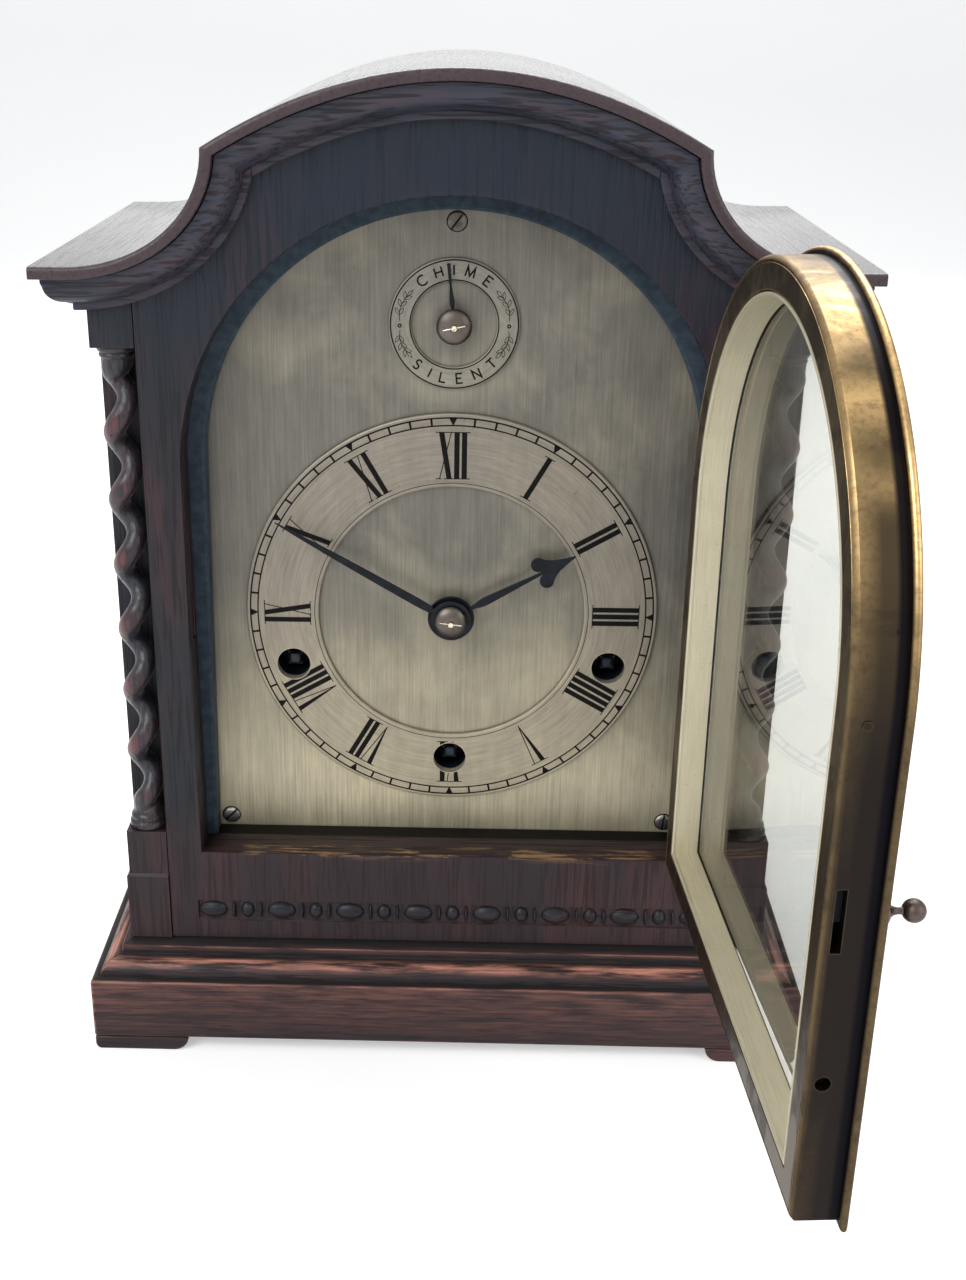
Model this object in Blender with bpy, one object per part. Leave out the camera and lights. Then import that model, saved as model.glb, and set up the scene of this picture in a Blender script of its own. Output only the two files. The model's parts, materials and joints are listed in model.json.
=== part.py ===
"""Arched oak bracket clock: barley-twist columns, silvered dial and a hinged brass bezel.

Metres, +Z up, the front faces -Y. The clock stands on Z = 0 with its bezel open, as it is shown.
Heights are built up from the floor and depths are counted back from the front of the case.
"""

import math

import bmesh
import bpy
from mathutils import Matrix, Vector

MM = 0.001

# Fit between pieces
SEAT = 0.3 * MM  # gap where one piece rests on another
PLAY = 0.35 * MM  # clearance round a turning arbor
OVERCUT = 5.0 * MM  # how far a cutter runs past what it cuts

# Case body
CASE_HALF_WIDTH = 102.6 * MM
FRONT_Y = 10.0 * MM  # front face of the case, which sets the middle of the opened clock on Y = 0
CASE_DEPTH = 133.8 * MM
PANEL_THICKNESS = 8.0 * MM
FRONT_THICKNESS = 12.4 * MM
COLUMN_BAY = 12.6 * MM  # square rebate at each front corner, where a column stands
BACK_Y = FRONT_Y + CASE_DEPTH

# Plinth and feet
FOOT_HEIGHT = 5.1 * MM
FOOT_LENGTH = 30.7 * MM
FOOT_ROUND = 2.0 * MM
PLINTH_HEIGHT = 30.5 * MM
PLINTH_PROJECTION = 12.5 * MM
PLINTH_RAIL = 8.0 * MM  # how far a plinth rail runs in under the case
BASE_BOARD_THICKNESS = 12.0 * MM
BODY_Z = FOOT_HEIGHT + PLINTH_HEIGHT

# Front opening and dial
SILL_HEIGHT = 31.9 * MM
STILE_WIDTH = 23.85 * MM  # from the side of the case to the opening
OPENING_STRAIGHT = 125.3 * MM  # from the sill to where the arch springs
DIAL_RISE = 75.6 * MM  # centre of the hands above the sill
MARGIN = 5.0 * MM  # how much of the dark inner margin shows beside and over the dial
SILL_SHOW = 0.5 * MM  # the dial shows to this much below the sill
OPENING_HALF_WIDTH = CASE_HALF_WIDTH - STILE_WIDTH
SILL_Z = BODY_Z + SILL_HEIGHT
SPRING_Z = SILL_Z + OPENING_STRAIGHT
DIAL_Z = SILL_Z + DIAL_RISE
DIAL_Y = FRONT_Y + 18.6 * MM  # front of the chapter ring
CHAPTER_OUTER = 64.0 * MM
CHAPTER_INNER = 41.3 * MM
CHAPTER_THICKNESS = 1.0 * MM
DIAL_THICKNESS = 1.6 * MM
DIAL_HIDDEN_EDGE = 5.0 * MM  # dial plate behind the margin
CHIME_RISE = 90.2 * MM
CHIME_OUTER = 19.2 * MM
CHIME_INNER = 12.4 * MM
CHIME_SET_BACK = 0.2 * MM  # front of the chime ring behind the chapter ring's
WINDING_HOLE = 5.25 * MM
WINDING_SIDE = (49.6 * MM, -17.4 * MM)  # side winding squares from the centre of the hands
WINDING_LOW = 49.7 * MM
SURROUND_DROP = 8.0 * MM  # foot of the dark margin board below the sill
CENTRE_BORE = 3.6 * MM
POINTER_BORE = 1.6 * MM

# Roof and cornice
ROOF_RISE = 33.3 * MM  # top of the roof above the arch of the opening
ARCH_RADIUS = 112.0 * MM
ROOF_FLAT = 10.1 * MM  # level end of the roof outside the shoulder's curve
SHOULDER_WIDTH = 38.0 * MM
SHOULDER_DROP = 31.0 * MM
ROOF_THICKNESS = 3.4 * MM
ROOF_PROJECTION = 12.5 * MM
CORNICE_DEPTH = 13.2 * MM
ARCH_STEPS = 11
SHOULDER_STEPS = 6
CUSP_X = CASE_HALF_WIDTH + ROOF_PROJECTION - ROOF_FLAT - SHOULDER_WIDTH
ROOF_TOP = SPRING_Z + OPENING_HALF_WIDTH + ROOF_RISE
CUSP_Z = ROOF_TOP - CUSP_X**2 / (2 * ARCH_RADIUS)
SHOULDER_Z = CUSP_Z - SHOULDER_DROP

# Columns
PEDESTAL_HEIGHT = 39.0 * MM
PEDESTAL_PANEL = 22.9 * MM  # raised lower part of a pedestal
PEDESTAL_RAISE = 0.8 * MM
TOP_BLOCK_DROP = 24.3 * MM  # underside of the top block below the roof's flats
TWIST_PITCH = 20.5 * MM
STRAND_RADIUS = 3.3 * MM
STRAND_OFFSET = 2.1 * MM
TWIST_PHASE = (59.9 * MM, 57.5 * MM)  # height over the dial's centre of an outward bulge, left and right
COLUMN_SIDES = 10
RINGS_PER_TURN = 8

# Bead and reel strip
BEAD_RISE = 10.5 * MM  # centre of the strip above the foot of the case
BEAD_RADIUS = 3.1 * MM
BEAD_PITCH = 22.2 * MM
BEAD_LONG = 9.4 * MM
BEAD_ROUND = 4.6 * MM
REEL_THICKNESS = 1.7 * MM
STRIP_OVERHANG = 1.95 * MM  # the strip starts this far past the left of the opening
STRIP_LEFT = -OPENING_HALF_WIDTH - STRIP_OVERHANG
STRIP_ROOM = 4.7 * MM  # least wood between the strip and the right column's bay
STRIP_REACH = CASE_HALF_WIDTH - COLUMN_BAY - STRIP_ROOM - BEAD_LONG - STRIP_LEFT
BEAD_REPEATS = math.floor(STRIP_REACH / BEAD_PITCH)
STRIP_RIGHT = STRIP_LEFT + BEAD_REPEATS * BEAD_PITCH + BEAD_LONG
CHANNEL_DEPTH = 1.7 * MM
BEAD_SIDES = 4

# Bezel door, measured closed; depths run forward from its rear face
BEZEL_CLEARANCE = 0.75 * MM  # inside the opening at each side
BEZEL_LIFT = 0.8 * MM  # over the sill
BEZEL_SPRING_DROP = 2.7 * MM  # its arch springs this much below the opening's
BEZEL_HALF_WIDTH = OPENING_HALF_WIDTH - BEZEL_CLEARANCE
BEZEL_DEPTH = 11.1 * MM
BEZEL_RAIL = 8.0 * MM
BEZEL_LIP = 1.6 * MM
BEZEL_FLANGE = 1.9 * MM
BEZEL_FRONT = 13.2 * MM
GLASS_DEPTH = 8.0 * MM
GLASS_THICKNESS = 2.0 * MM
SIGHT_THICKNESS = 1.0 * MM
BEZEL_ARCH_STEPS = 24
BEZEL_OPEN = math.radians(93.8)
HINGE_SIDE = 1.84 * MM  # hinge axis outside the edge of the bezel
HINGE_X = BEZEL_HALF_WIDTH + HINGE_SIDE
HINGE_OUT = 0.8 * MM  # hinge axis in front of the case
HINGE_RADIUS = 1.0 * MM
HINGE_PIN = 0.45 * MM
HINGE_SHOULDER = 0.1 * MM  # between the bezel's edge and where its hinges begin
LEAF_THICKNESS = 0.8 * MM
LEAF_WIDTH = 4.0 * MM
HINGE_LENGTH = 22.0 * MM
HINGE_HEIGHTS = (41.0 * MM, -49.0 * MM)  # middle of each hinge over the dial's centre
KNOB_INSET = 4.0 * MM
KNOB_RISE = 3.0 * MM
LATCH_REACH = 7.0 * MM
LATCH_WIDTH = 3.0 * MM
LATCH_DEPTHS = (1.9 * MM, 4.1 * MM)
LATCH_ROOM = 0.8 * MM  # round the tongue in its mortise
KNOB_SHAFT = 1.0 * MM
KNOB_BASE = 2.9 * MM
KNOB_BALL = 2.65 * MM
KNOB_REACH = 6.7 * MM  # middle of the ball in front of the bezel
CATCH_DROP = 37.6 * MM  # small catch hole in the rim below the dial's centre
CATCH_DEPTH = 3.8 * MM
CATCH_RADIUS = 1.8 * MM

# Back of the case
BACK_STILE = 30.6 * MM
BACK_OPENING_HALF = CASE_HALF_WIDTH - BACK_STILE
BACK_OPENING_RISE = 23.0 * MM  # foot of the back opening above the foot of the case
BACK_OPENING_STRAIGHT = 134.0 * MM
DOOR_CLEARANCE = 0.8 * MM
BACK_HINGE_RADIUS = 1.8 * MM
BACK_PANEL_INSET = 14.0 * MM
BACK_PANEL_DEPTH = 1.5 * MM
BACK_HINGE_SHORT = 6.0 * MM  # each end of the hinge inside the straight side
PULL_RADIUS = 5.2 * MM
PULL_LENGTH = 6.3 * MM

# Movement
PLATE_INSET = 3.75 * MM  # side of a plate inside the opening's
PLATE_HALF_WIDTH = OPENING_HALF_WIDTH - PLATE_INSET
PLATE_BOTTOM = -73.0 * MM
PLATE_TOP = 60.0 * MM
PLATE_THICKNESS = 2.5 * MM
FRONT_PLATE_Y = DIAL_Y + 13.6 * MM
PLATE_SPACING = 44.0 * MM
PILLAR_RADIUS = 4.0 * MM
PILLAR_INSET = 7.0 * MM
PILLAR_FOOT = 6.0 * MM  # length of a pillar's thick end
BARREL_RADIUS = 20.0 * MM
BARREL_LENGTH = 24.0 * MM
BARREL_SET_BACK = 8.0 * MM  # behind the front plate
WHEEL_RIM = 3.0 * MM  # teeth and rim of the great wheel beyond its barrel
WHEEL_THICKNESS = 2.0 * MM
ARBOR_RADIUS = 3.0 * MM
SQUARE_SIDE = 4.2 * MM
SQUARE_SET_BACK = 5.0 * MM  # end of a winding square behind the front of the dial
SEAT_BOARD_THICKNESS = 8.0 * MM
SEAT_BOARD_FRONT = DIAL_Y + 8.0 * MM
BACK_PLATE_Y = FRONT_PLATE_Y + PLATE_THICKNESS + PLATE_SPACING

# Motion work: cannon 24 to minute wheel 36, minute pinion 8 to hour wheel 64
CANNON_TEETH = 24
MINUTE_WHEEL_TEETH = 36
PINION_LEAVES = 8
HOUR_TEETH = 64
ARBOR_DISTANCE = 18.0 * MM
GEAR_THICKNESS = 1.2 * MM
CANNON_TOOTH = 0.44  # share of the pitch that a tooth takes up
HOUR_TOOTH = 0.42
PINION_TOOTH = 0.36
PINION_OVERLAP = 0.4 * MM
WHEEL_GAP = 2.4 * MM  # from the cannon wheel to the hour wheel
MINUTE_WHEEL_SIDE = math.radians(45)  # where its post stands, clockwise from twelve

# Hands, as angles clockwise from twelve
MINUTE_ANGLE = math.radians(-59.9)
HOUR_ANGLE = math.radians(61.2)
CHIME_ANGLE = math.radians(-5.7)
MINUTE_LENGTH = 62.0 * MM
HOUR_LENGTH = 43.2 * MM
HAND_THICKNESS = 0.8 * MM
HOUR_LIFT = 2.6 * MM  # back of the hand in front of the chapter ring
MINUTE_LIFT = 4.8 * MM
HOUR_BOSS = 7.2 * MM
MINUTE_BOSS = 6.4 * MM
HAND_TIP = 0.25 * MM
COLLET_RADIUS = 5.4 * MM
COLLET_HEIGHT = 2.45 * MM
CANNON_PIPE = 1.6 * MM
HOUR_PIPE = 2.8 * MM
POINTER_LIFT = 1.6 * MM
POINTER_THICKNESS = 0.6 * MM
POINTER_BOSS = 3.0 * MM
POINTER_ARBOR = 1.2 * MM
POINTER_COLLET = 5.2 * MM

# Pendulum and chime rods
PENDULUM_RISE = 48.0 * MM  # pivot over the dial's centre
PENDULUM_SET_BACK = 7.0 * MM  # pivot behind the back plate
PENDULUM_LENGTH = 112.0 * MM
ROD_RADIUS = 1.1 * MM
COCK_HALF_WIDTH = 9.0 * MM
COCK_HEIGHT = 6.5 * MM
COCK_CLEARANCE = 2.5 * MM
BOB_LIFT = 6.0 * MM  # middle of the bob above the rod's foot
BOB_RADIUS = 17.0 * MM
BOB_THICKNESS = 7.0 * MM
CHIME_ROD_COUNT = 5
CHIME_ROD_RADIUS = 1.2 * MM
CHIME_ROD_PITCH = 6.0 * MM
CHIME_ROD_RISE = 20.0 * MM
CHIME_ROD_LENGTH = 145.0 * MM
CHIME_ROD_SHORTER = 8.0 * MM  # each rod than the one before
ROD_BLOCK_WIDTH = 14.0 * MM
ROD_BLOCK_HEIGHT = 26.0 * MM
ROD_BLOCK_GAP = 4.0 * MM
BOARD_LIFT = 4.0 * MM  # base board above the plinth's foot

# Smoothness of round cuts, in sides
BORE_SIDES = 10
BOSS_STEPS = 14
TURNED_SIDES = 12

X_AXIS, Y_AXIS, Z_AXIS = Vector((1, 0, 0)), Vector((0, 1, 0)), Vector((0, 0, 1))


# Scene and materials


def clear_scene():
    for obj in list(bpy.data.objects):
        bpy.data.objects.remove(obj, do_unlink=True)


def make_material(name, colour, roughness, metallic=0.0, transmission=0.0):
    """A plain surface with the piece's own colour, polish and metal."""
    material = bpy.data.materials.new(name)
    material.use_nodes = True
    shader = material.node_tree.nodes["Principled BSDF"]
    shader.inputs["Base Color"].default_value = (*colour, 1.0)
    shader.inputs["Roughness"].default_value = roughness
    shader.inputs["Metallic"].default_value = metallic
    shader.inputs["Transmission Weight"].default_value = transmission
    material.diffuse_color = (*colour, 1.0)
    return material


def make_materials():
    """Every finish on the clock, by name."""
    return {
        "oak_case": make_material("oak_case", (0.030, 0.014, 0.011), 0.38),
        "oak_plinth": make_material("oak_plinth", (0.085, 0.026, 0.014), 0.42),
        "oak_roof": make_material("oak_roof", (0.070, 0.035, 0.022), 0.30),
        "oak_inner": make_material("oak_inner", (0.10, 0.055, 0.030), 0.60),
        "margin_black": make_material("margin_black", (0.010, 0.011, 0.013), 0.45),
        "brass": make_material("brass", (0.42, 0.27, 0.11), 0.30, metallic=1.0),
        "silvered": make_material("silvered", (0.52, 0.49, 0.43), 0.45, metallic=0.8),
        "blued_steel": make_material("blued_steel", (0.012, 0.016, 0.028), 0.30, metallic=0.9),
        "steel": make_material("steel", (0.40, 0.40, 0.41), 0.35, metallic=1.0),
        "glass": make_material("glass", (0.95, 0.98, 0.97), 0.02, transmission=1.0),
    }


# Mesh building


def new_object(name, bm, material, smooth_degrees=None):
    """Turns the bmesh into a named object with outward faces."""
    bmesh.ops.recalc_face_normals(bm, faces=bm.faces)
    mesh = bpy.data.meshes.new(name)
    bm.to_mesh(mesh)
    bm.free()
    mesh.materials.append(material)
    if smooth_degrees is not None:
        mesh.shade_smooth()
        mesh.set_sharp_from_angle(angle=math.radians(smooth_degrees))
    obj = bpy.data.objects.new(name, mesh)
    bpy.context.collection.objects.link(obj)
    return obj


def loft(name, sections, material, closed=False, smooth_degrees=None):
    """Skins rings of points with equal counts; the ends are capped, or joined when closed."""
    bm = bmesh.new()
    rings = [[bm.verts.new(point) for point in section] for section in sections]
    pairs = list(zip(rings, rings[1:]))
    if closed:
        pairs.append((rings[-1], rings[0]))
    count = len(rings[0])
    for first, second in pairs:
        for i in range(count):
            j = (i + 1) % count
            bm.faces.new((first[i], first[j], second[j], second[i]))
    if not closed:
        bm.faces.new(list(reversed(rings[0])))
        bm.faces.new(rings[-1])
    return new_object(name, bm, material, smooth_degrees)


def prism(name, outline, start, end, material, axis="Y", smooth_degrees=None):
    """Extrudes a flat outline: (x, z) points along Y, (y, z) along X or (x, y) along Z."""
    place = {
        "X": lambda a, b, depth: (depth, a, b),
        "Y": lambda a, b, depth: (a, depth, b),
        "Z": lambda a, b, depth: (a, b, depth),
    }[axis]
    sections = [[place(a, b, depth) for a, b in outline] for depth in (start, end)]
    return loft(name, sections, material, smooth_degrees=smooth_degrees)


def box(name, low, high, material):
    corners = [(low[0], low[1]), (high[0], low[1]), (high[0], high[1]), (low[0], high[1])]
    return prism(name, corners, low[2], high[2], material, axis="Z")


def turned(name, profile, base, axis, material, sides=16, smooth_degrees=40):
    """Turns (distance along the axis, radius) points about an axis through base."""
    across = axis.orthogonal().normalized()
    up = axis.cross(across)
    sections = []
    for along, radius in profile:
        ring = []
        for i in range(sides):
            angle = 2 * math.pi * i / sides
            spoke = across * math.cos(angle) + up * math.sin(angle)
            ring.append(base + axis * along + spoke * radius)
        sections.append(ring)
    return loft(name, sections, material, smooth_degrees=smooth_degrees)


def bar(name, radius, start, end, centre, material, sides=BORE_SIDES):
    """A plain round bar along Y between two depths, through a centre that lies on Y = 0."""
    return turned(name, [(start, radius), (end, radius)], centre, Y_AXIS, material, sides=sides)


def circle(radius, centre=(0.0, 0.0), sides=24):
    steps = [2 * math.pi * i / sides for i in range(sides)]
    return [(centre[0] + radius * math.cos(a), centre[1] + radius * math.sin(a)) for a in steps]


def combine(target, tool, operation):
    """Cuts or joins the target with a helper shape, which isn't part of the clock itself."""
    modifier = target.modifiers.new(tool.name, "BOOLEAN")
    modifier.operation = operation
    modifier.object = tool
    modifier.solver = "EXACT"
    tool.hide_render = True
    tool.display_type = "WIRE"


def cut(target, *tools):
    for tool in tools:
        combine(target, tool, "DIFFERENCE")


def join(target, *tools):
    for tool in tools:
        combine(target, tool, "UNION")


# Outlines


def arched(half_width, bottom, spring, steps=24):
    """A round-headed outline, from the lower left corner round to the upper left."""
    points = [(-half_width, bottom), (half_width, bottom)]
    for i in range(steps + 1):
        angle = math.pi * i / steps
        points.append((half_width * math.cos(angle), spring + half_width * math.sin(angle)))
    return points


def roof_line(depth):
    """Points along the roof from left to right, at a depth below its top surface."""
    half = [(0.0, ROOF_TOP)]
    for i in range(1, ARCH_STEPS + 1):
        x = CUSP_X * i / ARCH_STEPS
        half.append((x, ROOF_TOP - x * x / (2 * ARCH_RADIUS)))
    for i in range(1, SHOULDER_STEPS + 1):
        angle = math.pi / 2 * i / SHOULDER_STEPS
        x = CUSP_X + SHOULDER_WIDTH * (1 - math.cos(angle))
        half.append((x, CUSP_Z - SHOULDER_DROP * math.sin(angle)))
    half.append((CASE_HALF_WIDTH + ROOF_PROJECTION, SHOULDER_Z))
    line = [(-x, z) for x, z in reversed(half[1:])] + half
    return [(x + mx * depth, z + mz * depth) for (x, z), (mx, mz) in zip(line, mitres(line))]


def mitres(line, closed=False):
    """For each point of a line that runs left to right, the step that moves it one unit inward."""
    count = len(line)
    found = []
    for i in range(count):
        normals = []
        for j in (i - 1, i):
            if not closed and (j < 0 or j + 1 >= count):
                continue
            start, end = Vector(line[j % count]), Vector(line[(j + 1) % count])
            along = (end - start).normalized()
            normals.append(Vector((along.y, -along.x)))
        mean = sum(normals, Vector((0, 0))) / len(normals)
        found.append(tuple(mean / mean.length_squared))
    return found


def clipped(line, half_width):
    """The part of a left-to-right line within half_width of the middle, with ends worked out."""
    inner = [(x, z) for x, z in line if abs(x) < half_width]
    first = line.index(inner[-1])
    (x0, z0), (x1, z1) = line[first], line[first + 1]
    end_z = z0 + (z1 - z0) * (half_width - x0) / (x1 - x0)
    return [(-half_width, end_z)] + inner + [(half_width, end_z)]


def under_roof(half_width, bottom):
    """The outline of a board that stands up to the underside of the roof."""
    top = clipped(roof_line(ROOF_THICKNESS + SEAT), half_width)
    return [(half_width, bottom), (-half_width, bottom)] + top


# Plinth


def plinth_profile():
    """(projection, height) round a plinth moulding, from its inner top edge outward and down."""
    top = BODY_Z
    return [
        (-PLINTH_RAIL, top),
        (0.0, top),
        (3.6 * MM, top - 1.5 * MM),
        (3.7 * MM, top - 4.1 * MM),
        (5.6 * MM, top - 4.6 * MM),
        (7.6 * MM, top - 5.4 * MM),
        (9.2 * MM, top - 6.6 * MM),
        (10.1 * MM, top - 7.9 * MM),
        (10.2 * MM, top - 8.8 * MM),
        (12.0 * MM, top - 9.3 * MM),
        (PLINTH_PROJECTION, top - 10.0 * MM),
        (PLINTH_PROJECTION, FOOT_HEIGHT),
        (-PLINTH_RAIL, FOOT_HEIGHT),
    ]


def build_plinth(materials):
    """Mitred mouldings at the front and sides, a rail behind and the board they carry."""
    wood = materials["oak_plinth"]
    profile = plinth_profile()
    half = CASE_HALF_WIDTH
    gap = SEAT / 2
    ends = [
        [(side * (half + p - gap), FRONT_Y - p, z) for p, z in profile] for side in (-1, 1)
    ]
    loft("plinth_front", ends, wood)
    for side, name in ((-1, "plinth_left"), (1, "plinth_right")):
        front = [(side * (half + p), FRONT_Y - p + gap, z) for p, z in profile]
        rear = [(side * (half + p), BACK_Y, z) for p, z in profile]
        loft(name, [front, rear], wood)
    inner = half - PLINTH_RAIL - SEAT
    rail_front = BACK_Y - PLINTH_RAIL
    box("plinth_rear", (-inner, rail_front, FOOT_HEIGHT), (inner, BACK_Y, BODY_Z), wood)
    board_low = FOOT_HEIGHT + BOARD_LIFT
    box(
        "base_board",
        (-inner, FRONT_Y + PLINTH_RAIL + SEAT, board_low),
        (inner, rail_front - SEAT, board_low + BASE_BOARD_THICKNESS),
        materials["oak_inner"],
    )


def foot_outline(side):
    """A bracket foot from the front: rounded outside corner, hollowed inner end."""
    outer = CASE_HALF_WIDTH + PLINTH_PROJECTION
    inner = outer - FOOT_LENGTH
    top = FOOT_HEIGHT - SEAT
    round_radius = FOOT_ROUND
    points = [(outer, top)]
    for i in range(4):
        angle = math.pi / 2 * i / 3
        reach = round_radius * (1 - math.sin(angle))
        points.append((outer - round_radius + round_radius * math.cos(angle), reach))
    for i in range(4):
        angle = math.pi / 2 * i / 3
        points.append((inner + top * (1 - math.sin(angle)), top * (1 - math.cos(angle))))
    return [(side * x, z) for x, z in points]


def build_feet(materials):
    wood = materials["oak_plinth"]
    front = FRONT_Y - PLINTH_PROJECTION
    for side, word in ((-1, "left"), (1, "right")):
        outline = foot_outline(side)
        prism(f"foot_front_{word}", outline, front, front + FOOT_LENGTH, wood)
        prism(f"foot_rear_{word}", outline, BACK_Y - FOOT_LENGTH, BACK_Y, wood)


# Case


def build_front_frame(materials):
    """The front board with its arched opening, bead channel, hinge notches and latch mortise."""
    half = CASE_HALF_WIDTH - COLUMN_BAY - SEAT
    back = FRONT_Y + FRONT_THICKNESS
    wood = materials["oak_case"]
    frame = prism("front_frame", under_roof(half, BODY_Z + SEAT), FRONT_Y, back, wood)
    outline = arched(OPENING_HALF_WIDTH, SILL_Z, SPRING_Z)
    opening = prism("opening_tool", outline, FRONT_Y - OVERCUT, back + OVERCUT, wood)
    bead_z = BODY_Z + BEAD_RISE
    reach = BEAD_RADIUS + SEAT
    channel = box(
        "channel_tool",
        (STRIP_LEFT - SEAT, FRONT_Y - OVERCUT, bead_z - reach),
        (STRIP_RIGHT + SEAT, FRONT_Y + CHANNEL_DEPTH, bead_z + reach),
        wood,
    )
    cut(frame, opening, channel)
    notch_half = HINGE_LENGTH / 2 + SEAT
    notch_end = HINGE_X + HINGE_RADIUS + LEAF_WIDTH + 2 * SEAT
    for number, height in enumerate(HINGE_HEIGHTS):
        middle = DIAL_Z + height
        notch = box(
            f"notch_tool_{number}",
            (OPENING_HALF_WIDTH - OVERCUT, FRONT_Y - OVERCUT, middle - notch_half),
            (notch_end, FRONT_Y + LEAF_THICKNESS + 2 * SEAT, middle + notch_half),
            wood,
        )
        cut(frame, notch)
    rear_y = FRONT_Y - SEAT + BEZEL_DEPTH
    knob_z = DIAL_Z + KNOB_RISE
    mortise_half = LATCH_REACH + LATCH_ROOM
    mortise = box(
        "mortise_tool",
        (
            -OPENING_HALF_WIDTH - LATCH_REACH / 2 - SEAT,
            rear_y - LATCH_DEPTHS[1] - LATCH_ROOM,
            knob_z - mortise_half,
        ),
        (
            -OPENING_HALF_WIDTH + OVERCUT,
            rear_y - LATCH_DEPTHS[0] + LATCH_ROOM,
            knob_z + mortise_half,
        ),
        wood,
    )
    cut(frame, mortise)


def build_shell(materials):
    """Sides, back frame and roof."""
    wood = materials["oak_case"]
    top = SHOULDER_Z - ROOF_THICKNESS - SEAT
    front = FRONT_Y + COLUMN_BAY
    inner_back = BACK_Y - PANEL_THICKNESS
    for side, name in ((-1, "side_panel_left"), (1, "side_panel_right")):
        xs = sorted((side * CASE_HALF_WIDTH, side * (CASE_HALF_WIDTH - PANEL_THICKNESS)))
        box(name, (xs[0], front, BODY_Z + SEAT), (xs[1], inner_back - SEAT, top), wood)
    outline = under_roof(CASE_HALF_WIDTH, BODY_Z + SEAT)
    back_frame = prism("back_frame", outline, inner_back, BACK_Y, wood)
    opening = prism(
        "back_opening_tool", back_opening(0.0), inner_back - OVERCUT, BACK_Y + OVERCUT, wood
    )
    cut(back_frame, opening)
    section = roof_line(0.0) + list(reversed(roof_line(ROOF_THICKNESS)))
    front = FRONT_Y - ROOF_PROJECTION
    prism("roof", section, front, BACK_Y, materials["oak_roof"], smooth_degrees=25)


def back_opening(inset):
    bottom = BODY_Z + BACK_OPENING_RISE + inset
    spring = bottom - inset + BACK_OPENING_STRAIGHT
    return arched(BACK_OPENING_HALF - inset, bottom, spring)


def cornice_profile():
    """(projection, depth below the roof's top) round the moulding under the roof slab."""
    top = ROOF_THICKNESS + SEAT
    return [
        (SEAT, top),
        (9.9 * MM, top),
        (9.9 * MM, 4.3 * MM),
        (9.3 * MM, 5.4 * MM),
        (8.5 * MM, 7.1 * MM),
        (7.4 * MM, 8.8 * MM),
        (5.9 * MM, 10.2 * MM),
        (4.1 * MM, 11.0 * MM),
        (3.0 * MM, 11.2 * MM),
        (3.0 * MM, CORNICE_DEPTH),
        (SEAT, CORNICE_DEPTH),
    ]


def build_cornice(materials):
    """The moulding that follows the arch across the front and returns along both sides."""
    wood = materials["oak_case"]
    profile = cornice_profile()
    line = roof_line(0.0)
    gap = SEAT / 2
    sections = []
    for (x, z), (mx, mz) in zip(line, mitres(line)):
        sections.append([(x + mx * h, FRONT_Y - p, z + mz * h) for p, h in profile])
    front_piece = loft("cornice_front", sections, wood, smooth_degrees=30)
    over = 2 * ROOF_PROJECTION
    for side, word in ((-1, "left"), (1, "right")):
        corner = side * (CASE_HALF_WIDTH - gap)
        waste = [
            (corner - side * MM, FRONT_Y + MM),
            (corner + side * over, FRONT_Y - over),
            (corner + side * over, FRONT_Y + MM),
        ]
        mitre = prism(f"mitre_tool_{word}", waste, SHOULDER_Z - over, ROOF_TOP, wood, axis="Z")
        cut(front_piece, mitre)
        across = [side * (CASE_HALF_WIDTH + p) for p, _ in profile]
        front = [(x, FRONT_Y - p + gap, SHOULDER_Z - h) for x, (p, h) in zip(across, profile)]
        rear = [(x, BACK_Y, SHOULDER_Z - h) for x, (p, h) in zip(across, profile)]
        loft(f"cornice_{word}", [front, rear], wood)


# Columns


def column_levels(bottom, top):
    """(height, radius, strand offset) of every ring of a column, from its base to its cap."""
    base = [(0.0, 6.1), (1.6, 5.9), (3.0, 5.2), (3.9, 5.3), (4.6, 4.6)]
    cap = [(3.2, 4.4), (2.5, 4.9), (2.3, 5.3), (0.0, 5.6)]
    levels = [(bottom + along * MM, radius * MM, 0.0) for along, radius in base]
    start, end = bottom + 5.4 * MM, top - 3.6 * MM
    count = round((end - start) / TWIST_PITCH * RINGS_PER_TURN)
    fade = TWIST_PITCH / 3
    for i in range(count + 1):
        z = start + (end - start) * i / count
        nearest = min(z - start, end - z)
        levels.append((z, STRAND_RADIUS, STRAND_OFFSET * min(1.0, nearest / fade)))
    return levels + [(top - along * MM, radius * MM, 0.0) for along, radius in cap]


def build_columns(materials):
    """Barley-twist columns: one strand wound right-handed on the left, left-handed on the right."""
    wood = materials["oak_case"]
    centre = CASE_HALF_WIDTH - COLUMN_BAY / 2
    centre_y = FRONT_Y + COLUMN_BAY / 2
    bottom = BODY_Z + PEDESTAL_HEIGHT + SEAT
    top = SHOULDER_Z - TOP_BLOCK_DROP - SEAT
    for side, word, phase in ((-1, "left", TWIST_PHASE[0]), (1, "right", TWIST_PHASE[1])):
        sections = []
        for z, radius, offset in column_levels(bottom, top):
            turn = 2 * math.pi * (z - DIAL_Z - phase) / TWIST_PITCH
            x = side * (centre + offset * math.cos(turn))
            y = centre_y + offset * math.sin(-turn)
            sections.append([(a, b, z) for a, b in circle(radius, (x, y), COLUMN_SIDES)])
        loft(f"column_{word}", sections, wood, smooth_degrees=60)


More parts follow.
